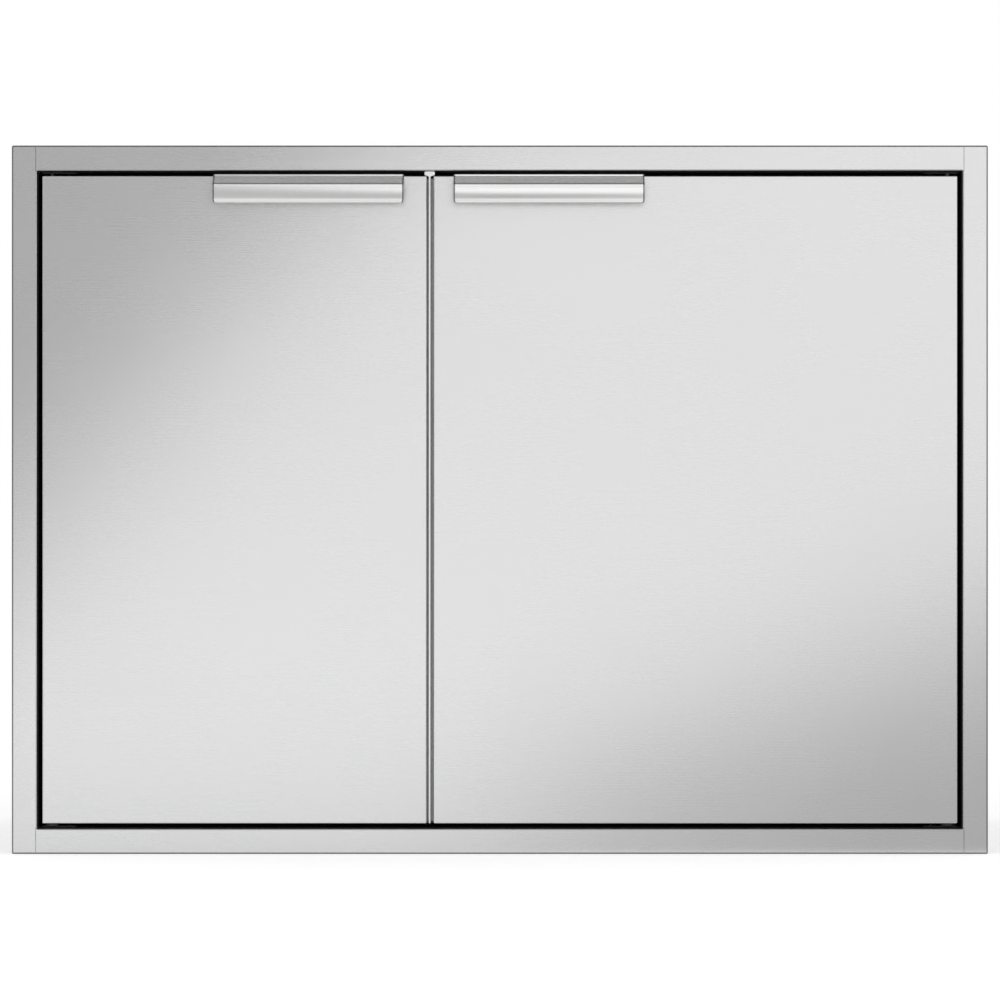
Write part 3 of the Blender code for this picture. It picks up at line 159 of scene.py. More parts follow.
class StripSettings(bpy.types.PropertyGroup):
    """Strip between the doors."""

    web: length("Web", "Width of the thin web", 0.0018)
    head: length("Head", "Width of the flared head", 0.0099)
    lift: length("Lift", "From the doors' top edges to the head", 0.0009)
    flare: length("Flare", "Height of the flare and radius of its curves", 0.0012)
    shoulder: length("Shoulder", "Radius where the flare meets the head", 0.0007)
    depth: length("Depth", "Depth of the bright front", 0.0060)
    edge: length("Edge", "Rounding of the front's edges", 0.0004)
    foot: length("Foot", "Width of the foot", 0.0198)
    foot_front: length("Foot front", "From the frame's face to the foot", 0.0235)
    foot_gauge: length("Foot gauge", "Thickness of the foot", 0.0012)
    pad_reach: length("Pad reach", "From the strip's middle to its pads' far edges", 0.0106)
    pad_front: length("Pad front", "From the frame's face to the pads", 0.0222)
    pad_gauge: length("Pad gauge", "Thickness of the pads", 0.0012)
    pad_overlap: length("Pad overlap", "How far the pads reach behind the doors", 0.0010)


class DoorSettings(bpy.types.PropertyGroup):
    """Skins of the doors."""

    gauge: length("Gauge", "Sheet thickness", 0.0010)
    bend: length("Bend", "Size of the folds", 0.0011)
    thickness: length("Thickness", "Depth of the skin", 0.0200)
    flange: length("Flange", "Width of the turned-in rear flanges", 0.0300)


class LinerSettings(bpy.types.PropertyGroup):
    """Liners of the doors, each with a pressed field."""

    gauge: length("Gauge", "Sheet thickness", 0.0008)
    bend: length("Bend", "Size of the folds, none on a flat liner", 0.0)
    margin: length("Margin", "From the liner's edge to the pressed field", 0.0300)
    corner: length("Corner", "Radius of the field's corners", 0.0140)
    slope: length("Slope", "Width of the slope round the field", 0.0045)
    height: length("Height", "Height of the pressed field", 0.0015)


class SealSettings(bpy.types.PropertyGroup):
    """Ring seals of the doors."""

    width: length("Width", "Width of the seal's base", 0.0100)
    base: length("Base", "Thickness of the base strip", 0.0010)
    bulb: length("Bulb", "Radius of the hollow bulb", 0.00125)
    rib: length("Rib", "Radius of the ribs beside the bulb", 0.00055)
    corner: length("Corner", "Radius of the ring's corners", 0.0090)


class PullSettings(bpy.types.PropertyGroup):
    """Section of the edge pulls."""

    gauge: length("Gauge", "Sheet thickness", 0.0012)
    reach: length("Reach", "How far the pull stands out of the door", PULL_REACH)
    flange: length("Flange", "Depth of the flange on the door's top edge", 0.0160)
    start: length("Start", "How far before the door the front step is", 0.0035)
    top_radius: length("Top radius", "Radius of the upper fold", 0.0006)
    step: length("Step", "Height of the small upright step at the top", 0.0017)
    step_radius: length("Step radius", "Radius of the fold under the step", 0.0003)
    height: length("Height", "From the top to the lower fold", 0.0277)
    slope_drop: length("Slope drop", "From the top to the crease under the slope", 0.0099)
    crease: length("Crease radius", "Radius of the crease", 0.0028)
    lip: length("Lip", "Depth of the turned-back lip", 0.0034)
    lip_radius: length("Lip radius", "Radius of the lower fold", 0.0009)
    corner: length("Corner", "Radius of the lower corners", 0.0022)
    edge: length("Edge", "Rounding of the cut ends", 0.0004)
    # Painted shade: the bands along the cut ends take a darker copy of the pull steel
    end: length("End", "Width of the darker line along the cut ends", 0.0014)


class CatchSettings(bpy.types.PropertyGroup):
    """Magnetic catches."""

    rounding: length("Rounding", "Rounding of the case, which the poles stand out of", 0.0009)
    pole_gauge: length("Pole gauge", "Thickness of the pole plates", 0.0022)
    pole_depth: length("Pole depth", "Depth of the pole plates", 0.0150)
    pole_inset: length("Pole inset", "From the case's ends to the pole plates", 0.0040)
    pole_edge: length("Pole edge", "Rounding of the pole plates", 0.0003)
    low_pole: length("Low pole", "From the case's foot to the lower plate", 0.0028)
    high_pole: length("High pole", "From the case's top to the upper plate's foot", 0.0050)


class ShelfSettings(bpy.types.PropertyGroup):
    """Folds of the shelves."""

    gauge: length("Gauge", "Sheet thickness", 0.0010)
    turn: length("Turn", "Width of the turned-under edge", 0.0090)
    bend: length("Bend", "Size of the folds", 0.00138)


class FastenerSettings(bpy.types.PropertyGroup):
    """Screws and rivets."""

    head: length("Screw head", "Radius of a pull screw's head", 0.0036)
    head_height: length("Head height", "Height of a pull screw's head", 0.0013)
    small_head: length("Small head", "Radius of the other screws' heads", 0.0030)
    small_height: length("Small height", "Height of the other screws' heads", 0.0009)
    socket: length("Socket", "Radius of a pull screw's hexagonal socket", 0.0016)
    rivet: length("Rivet head", "Radius of a rivet's head", 0.0032)
    rivet_height: length("Rivet height", "Height of a rivet's head", 0.0011)
    pitch: length("Rivet pitch", "Distance between rivets", 0.0900)
    seed: number("Seed", "Turns the screws' sockets", 11)


class StudioSettings(bpy.types.PropertyGroup):
    """Camera, floor and lamps."""

    distance: length("Camera distance", "From the camera to the frame's face", 5.0)
    eye: length("Camera height", "Height of the camera", 0.3316)
    view: length("View width", "Width that the camera sees at the frame's face", 0.9366)
    floor: colour("Floor", "Colour of the floor", (0.86, 0.86, 0.86))
    ambient: factor("Ambient", "Light from all round on matt surfaces", 0.70)
    lamp: power("Lamps", "Power of each soft lamp", 12.0)
    overhead: factor("Overhead", "How much of the light overhead polished steel mirrors", 0.25)
    shade: factor("Shade card", "Brightness of the cards that shade the fronts", 0.47)


SETTINGS = {
    "pantry_finish": FinishSettings,
    "pantry_trim": TrimSettings,
    "pantry_panel": PanelSettings,
    "pantry_strip": StripSettings,
    "pantry_door": DoorSettings,
    "pantry_liner": LinerSettings,
    "pantry_seal": SealSettings,
    "pantry_pull": PullSettings,
    "pantry_catch": CatchSettings,
    "pantry_shelf": ShelfSettings,
    "pantry_fastener": FastenerSettings,
    "pantry_studio": StudioSettings,
}


def settings(name):
    return getattr(bpy.context.scene, f"pantry_{name}")


# Pieces

def new_piece(name, source, *finishes):
    """An object from a bmesh or mesh drawn in cabinet space, its place in its mesh."""
    mesh = source
    if isinstance(source, bmesh.types.BMesh):
        mesh = bpy.data.meshes.new(name)
        source.to_mesh(mesh)
        source.free()
    mesh.transform(Matrix.Translation((0.0, FACE_Y, 0.0)))
    obj = bpy.data.objects.new(name, mesh)
    bpy.context.scene.collection.objects.link(obj)
    for look in finishes:
        mesh.materials.append(finish(look))
    return obj


def modify(obj, kind, **options):
    modifier = obj.modifiers.new(kind, kind)
    for option, value in options.items():
        setattr(modifier, option, value)


def bake(obj):
    """Turns the object with its modifiers into a plain mesh."""
    graph = bpy.context.evaluated_depsgraph_get()
    mesh = bpy.data.meshes.new_from_object(
        obj.evaluated_get(graph), preserve_all_data_layers=True, depsgraph=graph,
    )
    obj.modifiers.clear()
    drawn = obj.data
    obj.data = mesh
    bpy.data.meshes.remove(drawn)
    mesh.name = obj.name
    return obj


def round_shading(obj):
    obj.data.shade_smooth()
    obj.data.set_sharp_from_angle(angle=SHARP)
    return obj


def shade(obj):
    """Rounds the shading of folds and keeps flat faces flat."""
    modify(round_shading(obj), "WEIGHTED_NORMAL", keep_sharp=True)
    return bake(obj)


def dress(obj, body, slot, *nodes):
    """Lets a finished piece ride on its body and stand for its nodes."""
    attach(obj, body)
    if nodes:
        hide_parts(*nodes)


def refinish(look, *nodes):
    """Gives packed nodes a better material."""
    for name in nodes:
        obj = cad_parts[name]
        if not obj.material_slots:
            obj.data.materials.append(finish(look))
        for slot in obj.material_slots:
            slot.material = finish(look)


def span(node_name):
    """A node's lowest and highest corners in cabinet space."""
    low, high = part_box(node_name)
    back = Vector((0.0, FACE_Y, 0.0))
    return low - back, high - back


def inboard(side):
    return 1.0 if side == "left" else -1.0


# Sheet metal, folded from flat plates

def plate(bm, corner, across, along):
    """A rectangular sheet from a corner and two sides; its visible side faces across x along."""
    across = Vector(across)
    along = Vector(along)
    normal = across.cross(along).normalized()
    centre = Vector(corner) + (across + along) / 2
    matrix = Matrix.Translation(centre) @ Matrix((across, along, normal)).transposed().to_4x4()
    bmesh.ops.create_grid(bm, x_segments=1, y_segments=1, size=0.5, matrix=matrix)


def score(bm, point, normal):
    geometry = bm.verts[:] + bm.edges[:] + bm.faces[:]
    bmesh.ops.bisect_plane(bm, geom=geometry, plane_co=point, plane_no=normal, dist=WELD)


def free_edges(bm, test=lambda middle: True):
    return [e for e in bm.edges if e.is_boundary and test((e.verts[0].co + e.verts[1].co) / 2)]


def near(value, target):
    return abs(value - target) < WELD


def fold(bm, edges, move, shift=None):
    """Folds a flange out of open edges; shift(point) moves its free corners further."""
    made = bmesh.ops.extrude_edge_only(bm, edges=edges)["geom"]
    verts = [item for item in made if isinstance(item, bmesh.types.BMVert)]
    edges = [item for item in made if isinstance(item, bmesh.types.BMEdge)]
    for vert in verts:
        vert.co += Vector(move) + (shift(vert.co) if shift else Vector())
    return [edge for edge in edges if all(vert in verts for vert in edge.verts)]


def folded_strip(bm, profile, along, facing):
    """A profile of folds drawn out along a vector, its visible side turned to the facing."""
    verts = [bm.verts.new(point) for point in profile]
    fold(bm, [bm.edges.new(pair) for pair in zip(verts, verts[1:])], along)
    face_towards(bm, facing)


def face_towards(bm, direction):
    bm.normal_update()
    if sum(face.normal.dot(direction) * face.calc_area() for face in bm.faces) < 0:
        bmesh.ops.reverse_faces(bm, faces=bm.faces[:])


def press(bm, face, sheet):
    """Presses a field with rounded corners into a rectangular face, over a rounded slope."""
    steps = 8
    bm.normal_update()
    down = -face.normal.copy()
    corners = [loop.vert for loop in face.loops]
    bmesh.ops.delete(bm, geom=[face], context="FACES_ONLY")
    rings = []
    for step in range(steps + 1):
        drift = sheet.slope * step / steps
        depth = down * sheet.height * (1 - math.cos(math.pi * step / steps)) / 2
        radius = sheet.corner - drift
        ring = []
        for index, vert in enumerate(corners):
            back = (corners[index - 1].co - vert.co).normalized()
            onward = (corners[(index + 1) % 4].co - vert.co).normalized()
            centre = vert.co + (back + onward) * (sheet.margin + drift + radius) + depth
            for part in range(steps + 1):
                turn = math.pi / 2 * part / steps
                place = centre - (onward * math.cos(turn) + back * math.sin(turn)) * radius
                ring.append(bm.verts.new(place))
        rings.append(ring)
    count = steps + 1
    first = rings[0]
    for index, vert in enumerate(corners):
        onward = (index + 1) % 4
        last = first[index * count + steps]
        bm.faces.new((vert, corners[onward], first[onward * count], last))
        for part in range(steps):
            bm.faces.new((vert, first[index * count + part + 1], first[index * count + part]))
    for outer, inner in zip(rings, rings[1:]):
        for index in range(len(outer)):
            onward = (index + 1) % len(outer)
            bm.faces.new((outer[index], outer[onward], inner[onward], inner[index]))
    bm.faces.new(rings[-1])


def sheet_piece(name, bm, sheet, *finishes):
    """A sheet given its thickness on the hidden side and rounded folds in its last finish."""
    obj = new_piece(name, bm, *finishes)
    if sheet.bend:
        modify(
            obj, "BEVEL", limit_method="ANGLE", width=sheet.bend, segments=5,
            material=len(finishes) - 1,
        )
    modify(obj, "SOLIDIFY", thickness=sheet.gauge, offset=-1.0, use_even_offset=True)
    return bake(obj)


def add_box(bm, low, high):
    size = Vector(high) - Vector(low)
    middle = Matrix.Translation((Vector(low) + Vector(high)) / 2)
    bmesh.ops.create_cube(bm, size=1.0, matrix=middle @ Matrix.Diagonal((*size, 1.0)))


def cut_holes(obj, boxes=(), rounds=()):
    """Cuts boxes (low, high) and upright round holes (start, length, radius) in cabinet space."""
    bm = bmesh.new()
    for low, high in boxes:
        add_box(bm, low, high)
    for start, depth, radius in rounds:
        bmesh.ops.create_cone(
            bm, cap_ends=True, segments=28, radius1=radius, radius2=radius, depth=depth,
            matrix=Matrix.Translation(start + UP * depth / 2),
        )
    cutter = new_piece(f"{obj.name}_cutter", bm, obj.data.materials[0].name)
    modify(obj, "BOOLEAN", operation="DIFFERENCE", solver="MANIFOLD", object=cutter)
    bake(obj)
    mesh = cutter.data
    bpy.data.objects.remove(cutter, do_unlink=True)
    bpy.data.meshes.remove(mesh)


def pan(name, low, high, normal, wall, lip, sheet, look, cut=None):
    """A plate with its four edges folded away from its visible side and their ends turned in.

    Where a cut is given, it is cut at that x, and each part gets a field pressed from that side.
    """
    across = [axis for axis in range(3) if normal[axis] == 0.0]
    sides = Vector(), Vector()
    for side, axis in zip(sides, across):
        side[axis] = high[axis] - low[axis]
    bm = bmesh.new()
    plate(bm, low, *sides)
    face_towards(bm, normal)
    if cut is not None:
        score(bm, (cut, 0.0, 0.0), (1.0, 0.0, 0.0))
        for face in bm.faces[:]:
            press(bm, face, sheet)
    rim = fold(bm, free_edges(bm), -normal * wall)
    if lip:
        middle = (low + high) / 2

        def inwards(point):
            shift = Vector()
            for axis in across:
                if axis or cut is None or not near(point.x, cut):
                    shift[axis] = math.copysign(lip, middle[axis] - point[axis])
            return shift

        fold(bm, rim, ORIGIN, inwards)
    return sheet_piece(name, bm, sheet, look)


def rounded(points, radii):
    """A 2D path with its corners rounded by the given radii, 0 for the ends and plain corners."""
    steps = 6
    path = []
    for index, (point, radius) in enumerate(zip(points, radii)):
        corner = Vector(point)
        if not radius or index in (0, len(points) - 1):
            path.append(corner)
            continue
        before = (Vector(points[index - 1]) - corner).normalized()
        after = (Vector(points[index + 1]) - corner).normalized()
        half = before.angle(after) / 2
        run = radius / math.tan(half)
        centre = corner + (before + after).normalized() * radius / math.sin(half)
        start = corner + before * run - centre
        turn = start.angle_signed(corner + after * run - centre)
        for step in range(steps + 1):
            path.append(centre + Matrix.Rotation(-turn * step / steps, 2) @ start)
    return path


# Node trees

def node(tree, kind, inputs=None, **options):
    """Adds a node and returns its first output; inputs are values or other nodes' outputs."""
    made = tree.nodes.new(kind)
    for option, value in options.items():
        setattr(made, option, value)
    plug(made, inputs or {})
    return made.outputs[0] if made.outputs else None


def plug(made, inputs):
    for key, value in inputs.items():
        if isinstance(value, bpy.types.NodeSocket):
            made.id_data.links.new(value, made.inputs[key])
        else:
            made.inputs[key].default_value = value


def calc(tree, operation, first, second):
    return node(tree, "ShaderNodeMath", {0: first, 1: second}, operation=operation)


def spread(tree, value, low, high, start=0.3, end=0.7, kind="LINEAR"):
    """Maps a value, by default the middle of a noise, to a range."""
    return node(tree, "ShaderNodeMapRange", {
        "Value": value, "From Min": start, "From Max": end, "To Min": low, "To Max": high,
    }, interpolation_type=kind)


# Materials

def noise(tree, coords, scale, detail=2.0):
    """Noise of one scale, or of its own scale on each axis; returns its value from 0 to 1."""
    scales = (scale,) * 3 if isinstance(scale, float) else scale
    place = node(tree, "ShaderNodeMapping", {"Vector": coords, "Scale": scales})
    return node(tree, "ShaderNodeTexNoise", {
        "Vector": place, "Scale": 1.0, "Detail": detail, "Roughness": 0.55,
    })


def tinted(tree, value, rgb, darker, lighter):
    """The colour made darker and lighter, as a noise value says."""
    colours = node(tree, "ShaderNodeValToRGB", {"Fac": value})
    elements = colours.node.color_ramp.elements
    for element, place, amount in zip(elements, (0.25, 0.75), (darker, lighter)):
        element.position = place
        element.color = (*scaled(rgb, amount), 1.0)
    return colours


def bump(tree, height, strength, distance):
    return node(tree, "ShaderNodeBump", {
        "Height": height, "Strength": strength, "Distance": distance,
    })


def coordinates(tree, kind="Object"):
    return node(tree, "ShaderNodeTexCoord").node.outputs[kind]


def new_material(name):
    material = bpy.data.materials.new(name)
    material.use_nodes = True
    tree = material.node_tree
    return tree, tree.nodes["Principled BSDF"], coordinates(tree)


def scaled(rgb, amount):
    return tuple(min(1.0, channel * amount) for channel in rgb)


def steel(name, rgb, roughness, grain, streak=0.02, fine=0.05, relief=0.10):
    """Steel brushed along one axis: grain is that axis, streak and fine how much the lines show."""
    tree, shader, coords = new_material(name)
    lines = noise(tree, coords, [16.0 if axis == grain else 2300.0 for axis in range(3)])
    broad = noise(tree, coords, [3.5 if axis == grain else 420.0 for axis in range(3)], 3.0)
    bands = calc(tree, "MULTIPLY", broad, 0.7)
    clouds = noise(tree, coords, 9.0, 3.0)
    mixed = calc(tree, "ADD", bands, calc(tree, "MULTIPLY", clouds, 0.3))
    grit = spread(tree, lines, roughness - fine, roughness + fine)
    plug(shader, {
        "Metallic": 1.0,
        "Base Color": tinted(tree, mixed, rgb, 1.0 - streak, 1.0 + streak),
        "Roughness": calc(tree, "ADD", grit, spread(tree, clouds, -0.02, 0.02)),
        "Normal": bump(tree, lines, relief, 0.00002),
    })


def plated(name, rgb):
    """Zinc plate with faint spangle and a cloudy passivated sheen."""
    tree, shader, coords = new_material(name)
    spots = noise(tree, coords, 160.0, 4.0)
    plug(shader, {
        "Metallic": 1.0,
        "Base Color": tinted(tree, noise(tree, coords, 28.0, 2.0), rgb, 0.93, 1.06),
        "Roughness": spread(tree, spots, 0.26, 0.42),
        "Normal": bump(tree, spots, 0.06, 0.0002),
    })


def moulded(name, rgb, roughness, pebble, relief, gloss=0.5):
    """Rubber, plastic or coating with a fine grain."""
    tree, shader, coords = new_material(name)
    grain = noise(tree, coords, pebble, 3.0)
    plug(shader, {
        "Specular IOR Level": gloss,
        "Base Color": tinted(tree, noise(tree, coords, 40.0, 2.0), rgb, 0.85, 1.15),
        "Roughness": spread(tree, grain, roughness - 0.06, roughness + 0.06),
        "Normal": bump(tree, grain, relief, 0.0002),
    })


def recipe(name):
    """How a finish is made: its maker and what the maker is given after the name, in order."""
    look = settings("finish")
    rough = look.brushed_roughness
    glossy = look.pull_roughness
    box = look.plain_roughness
    outer = scaled(look.brushed, look.edge_shade)
    inner = scaled(look.brushed, look.opening_shade)
    # Painted shade: a darker copy of the pull steel for the pulls' rounded edges, the lip's
    # underside and the cut ends
    painted_pull_shade = scaled(look.pull, 0.45)
    return {
        "brushed_front": (steel, look.brushed, rough, 0, 0.004, 0.012, 0.014),
        # Painted shade: darker copies of the brushed steel for the trim frame's folds, darkest on
        # the outer folds
        "frame_folds": (steel, outer, rough + 0.05, 0, 0.03),
        "opening_folds": (steel, inner, rough + 0.05, 0, 0.03),
        "pull_steel": (steel, look.pull, glossy, 0, 0.01, 0.03, 0.08),
        "pull_edges": (steel, painted_pull_shade, 0.3, 0, 0.02, 0.03, 0.05),
        "pull_ends": (steel, scaled(painted_pull_shade, 0.6), 0.3, 0, 0.02, 0.03, 0.05),
        "strip_steel": (steel, scaled(look.pull, 0.88), glossy, 2, 0.01, 0.03, 0.08),
        # Painted shade: a dark copy of the plain steel for the strip's foot, for the shade in the
        # gaps between the doors
        "shaded_steel": (steel, scaled(look.plain, 0.36), 0.2, 2, 0.03),
        "shelf_steel": (steel, look.brushed, rough + 0.03, 0, 0.02),
        "plain_steel": (steel, look.plain, box, 0, 0.03, 0.04, 0.05),
        "plain_side_steel": (steel, look.plain, box, 1, 0.03, 0.04, 0.05),
        "upright_steel": (steel, look.plain, box, 2, 0.03, 0.04, 0.05),
        "pin_steel": (steel, scaled(look.plain, 0.10), 0.34, 2, 0.05, 0.04, 0.05),
        "screw_steel": (steel, look.pull, 0.25, 2, 0.02, 0.03, 0.05),
        "zinc_plate": (plated, look.zinc),
        "black_rubber": (moulded, look.rubber, 0.70, 2200.0, 0.15, 0.12),
        "black_nylon": (moulded, look.nylon, 0.46, 900.0, 0.05),
        "black_coat": (moulded, look.case, 0.60, 1200.0, 0.06, 0.3),
        "catch_case": (moulded, look.case, 0.48, 1600.0, 0.12),
    }[name]


def finish(name):
    """The material of that name, made when it is first asked for."""
    if name not in bpy.data.materials:
        maker, *values = recipe(name)
        maker(name, *values)
    return bpy.data.materials[name]


# Geometry Nodes

def node_tree(name, sizes, **others):
    """A tree with named inputs for sizes, for others of the kinds given, and for its material."""
    tree = bpy.data.node_groups.new(name, "GeometryNodeTree")
    inputs = {"Geometry": "Geometry", **dict.fromkeys(sizes, "Float"), **others}
    inputs["Material"] = "Material"
    for label, kind in inputs.items():
        tree.interface.new_socket(label, in_out="INPUT", socket_type=f"NodeSocket{kind}")
    tree.interface.new_socket("Geometry", in_out="OUTPUT", socket_type="NodeSocketGeometry")
    return tree, tree.nodes.new("NodeGroupInput").outputs


def finish_tree(tree, geometry, given):
    whole = node(tree, "GeometryNodeRealizeInstances", {0: geometry})
    dressed = node(tree, "GeometryNodeSetMaterial", {0: whole, "Material": given["Material"]})
    node(tree, "NodeGroupOutput", {0: dressed})
    return tree


def vector(tree, x=0.0, y=0.0, z=0.0):
    return node(tree, "ShaderNodeCombineXYZ", {0: x, 1: y, 2: z})


def transformed(tree, geometry, **inputs):
    return node(tree, "GeometryNodeTransform", {0: geometry, **inputs})


def drilled(tree, head, vertices, radius, depth, lift):
    """A head with a hole sunk into its top."""
    drill = node(tree, "GeometryNodeMeshCylinder", {
        "Vertices": vertices, "Radius": radius, "Depth": depth,
    })
    raised = transformed(tree, drill, Translation=vector(tree, z=lift))
    return node(tree, "GeometryNodeMeshBoolean", {"Mesh 1": head, "Mesh 2": raised})


def on_points(tree, points, instance):
    """An instance on each point, its Z turned to the facing that the point carries."""
    facing = node(
        tree, "GeometryNodeInputNamedAttribute", {"Name": "facing"}, data_type="FLOAT_VECTOR",
    )
    turn = node(tree, "FunctionNodeAlignRotationToVector", {"Vector": facing}, axis="Z")
    return node(tree, "GeometryNodeInstanceOnPoints", {
        "Points": points, "Instance": instance, "Rotation": turn,
    })


def screw_tree():
    """Low tapered head with a hexagonal socket on every point, turned at random."""
    tree, given = node_tree("screws", ("Head", "Height", "Socket"), Seed="Int")
    head = node(tree, "GeometryNodeMeshCone", {
        "Vertices": 32, "Radius Top": calc(tree, "MULTIPLY", given["Head"], 0.72),
        "Radius Bottom": given["Head"], "Depth": given["Height"],
    })
    lift = calc(tree, "MULTIPLY", given["Height"], 0.8)
    screw = drilled(tree, head, 6, given["Socket"], given["Height"], lift)
    placed = on_points(tree, given["Geometry"], screw)
    random = node(
        tree, "FunctionNodeRandomValue", {2: 0.0, 3: 1.047, "Seed": given["Seed"]},
        data_type="FLOAT",
    )
    spun = node(tree, "GeometryNodeRotateInstances", {
        0: placed, "Rotation": vector(tree, z=random.node.outputs[1]),
    })
    return finish_tree(tree, spun, given)


def rivet_tree():
    """Domed rivets at an even pitch along paths; each point of a path carries its facing."""
    tree, given = node_tree("rivets", ("Head", "Height", "Pitch"))
    path = node(tree, "GeometryNodeMeshToCurve", {0: given["Geometry"]})
    even = node(
        tree, "GeometryNodeResampleCurve", {"Curve": path, "Length": given["Pitch"]},
        mode="LENGTH",
    )
    ball = node(tree, "GeometryNodeMeshUVSphere", {
        "Segments": 20, "Rings": 12, "Radius": given["Head"],
    })
    flat = calc(tree, "DIVIDE", given["Height"], given["Head"])
    dome = transformed(tree, ball, Scale=vector(tree, 1.0, 1.0, flat))
    core = calc(tree, "MULTIPLY", given["Head"], 0.34)
    rivet = drilled(tree, dome, 14, core, given["Height"], given["Height"])
    return finish_tree(tree, on_points(tree, even, rivet), given)


def coil_tree():
    """Round wire wound in an even coil that stands on its lower end."""
    tree, given = node_tree("coil", ("Turns", "Radius", "Wire", "Rise"), Foot="Vector")
    spiral = node(tree, "GeometryNodeCurveSpiral", {
        "Resolution": 20, "Rotations": given["Turns"], "Start Radius": given["Radius"],
        "End Radius": given["Radius"], "Height": given["Rise"],
    })
    wire = node(tree, "GeometryNodeCurvePrimitiveCircle", {
        "Resolution": 8, "Radius": given["Wire"],
    })
    swept = node(tree, "GeometryNodeCurveToMesh", {
        "Curve": spiral, "Profile Curve": wire, "Fill Caps": True,
    })
    return finish_tree(tree, transformed(tree, swept, Translation=given["Foot"]), given)


def rectangle(tree, width, height):
    return node(
        tree, "GeometryNodeCurvePrimitiveQuadrilateral", {"Width": width, "Height": height},
        mode="RECTANGLE",
    )


def seal_tree():
    """Ring seal: a base strip, a bulb and two ribs swept round a rounded rectangle."""
    tree, given = node_tree(
        "ring seal",
        ("Ring Width", "Ring Height", "Corner", "Base Width", "Base", "Bulb", "Rib"),
        Centre="Vector",
    )
    loop = rectangle(tree, given["Ring Width"], given["Ring Height"])
    ring = node(tree, "GeometryNodeFilletCurve", {
        "Curve": loop, "Radius": given["Corner"], "Count": 8, "Limit Radius": True,
    }, mode="POLY")
    level = node(tree, "GeometryNodeSetCurveNormal", {0: ring}, mode="Z_UP")
    half_base = calc(tree, "MULTIPLY", given["Base"], 0.5)
    sections = [transformed(
        tree, rectangle(tree, given["Base Width"], given["Base"]),
        Translation=vector(tree, y=half_base),
    )]
    edge = calc(tree, "SUBTRACT", calc(tree, "MULTIPLY", given["Base Width"], 0.5), given["Rib"])
    other_edge = calc(tree, "MULTIPLY", edge, -1.0)
    for size, across in (("Bulb", 0.0), ("Rib", edge), ("Rib", other_edge)):
        circle = node(tree, "GeometryNodeCurvePrimitiveCircle", {
            "Resolution": 14, "Radius": given[size],
        })
        lift = calc(tree, "ADD", calc(tree, "MULTIPLY", given[size], 0.8), given["Base"])
        sections.append(transformed(tree, circle, Translation=vector(tree, across, lift)))
    joined = node(tree, "GeometryNodeJoinGeometry")
    for section in sections:
        plug(joined.node, {0: node(tree, "GeometryNodeCurveToMesh", {
            "Curve": level, "Profile Curve": section, "Fill Caps": False,
        })})
    stood = transformed(tree, joined, Rotation=(-math.pi / 2, 0.0, 0.0))
    return finish_tree(tree, transformed(tree, stood, Translation=given["Centre"]), given)


TREES = {
    "screws": screw_tree,
    "rivets": rivet_tree,
    "coil": coil_tree,
    "ring seal": seal_tree,
}


def grow(name, kind, look, points=((ORIGIN, UP),), chains=(), **values):
    """The closed mesh that a tree makes of points with their facings, chained for paths.

    The values go to the tree's inputs of those names, by the inputs' identifiers.
    """
    mesh = bpy.data.meshes.new(name)
    mesh.from_pydata([point for point, facing in points], chains, [])
    facings = mesh.attributes.new("facing", "FLOAT_VECTOR", "POINT")
    for item, (point, facing) in zip(facings.data, points):
        item.vector = facing
    obj = new_piece(name, mesh)
    tree = bpy.data.node_groups.get(kind) or TREES[kind]()
    modifier = obj.modifiers.new(kind, "NODES")
    modifier.node_group = tree
    values["material"] = finish(look)
    for item in tree.interface.items_tree:
        label = item.name.lower().replace(" ", "_")
        if item.in_out == "INPUT" and label in values:
            modifier[item.identifier] = values[label]
    bake(obj)
    materials = obj.data.materials
    if not materials[0]:
        materials.pop(index=0)
    bm = bmesh.new()
    bm.from_mesh(obj.data)
    bmesh.ops.remove_doubles(bm, verts=bm.verts[:], dist=WELD / 10)
    bmesh.ops.recalc_face_normals(bm, faces=bm.faces[:])
    bm.to_mesh(obj.data)
    bm.free()
    return round_shading(obj)


# Trim frame

def pin_hole(side):
    """The hole that a sprung pin passes on its way up: start, length and radius."""
    low, high = span(f"pin_spring_{side}")
    start = Vector(((low.x + high.x) / 2, (low.y + high.y) / 2, low.z))
    return start, span("top_panel")[0].z + OVERRUN - low.z, PIN_HOLE


def fold_leg(bm, trim, test, outer_x=math.inf):
    """Folds the outer leg and its lip, mitred where it meets the next section's lip."""
    def mitred(point):
        shift = Vector()
        if near(point.x, outer_x):
            shift.x = -math.copysign(trim.lip, outer_x)
        if near(point.z, HEIGHT):
            shift.z = -trim.lip
        if near(point.z, 0.0):
            shift.z = trim.lip
        return shift

    leg = fold(bm, free_edges(bm, test), (0.0, trim.leg, 0.0))
    fold(bm, leg, ORIGIN, mitred)


def fold_recess(bm, trim, edges, inwards):
    """Folds the recess wall, the stop flange with its mitred ends, and the flange's lip."""
    axis = 0 if inwards.z else 2

    def mitred(point):
        shift = Vector()
        shift[axis] = math.copysign(trim.stop, MIDDLE[axis] - point[axis])
        return shift

    wall = fold(bm, edges, (0.0, trim.recess, 0.0))
    stop = fold(bm, wall, inwards * trim.stop, mitred)
    fold(bm, stop, (0.0, trim.stop_lip, 0.0))


def trim_piece(name, bm, trim, axis, holes=()):
    """A finished section whose folds carry painted shade, in darker copies of the steel that are
    lighter round the opening than on the outer folds.
    """
    obj = sheet_piece(name, bm, trim, "brushed_front", "opening_folds", "frame_folds")
    if holes:
        cut_holes(obj, rounds=holes)
    edge = (HALF_WIDTH, 0.0, HEIGHT / 2)[axis] - trim.face / 2
    # Painted shade: the folds round the opening get the lighter of the two shaded copies of the
    # steel
    for face in obj.data.polygons:
        if face.material_index and abs(face.center[axis] - MIDDLE[axis]) < edge:
            face.material_index = 1
    return shade(obj)


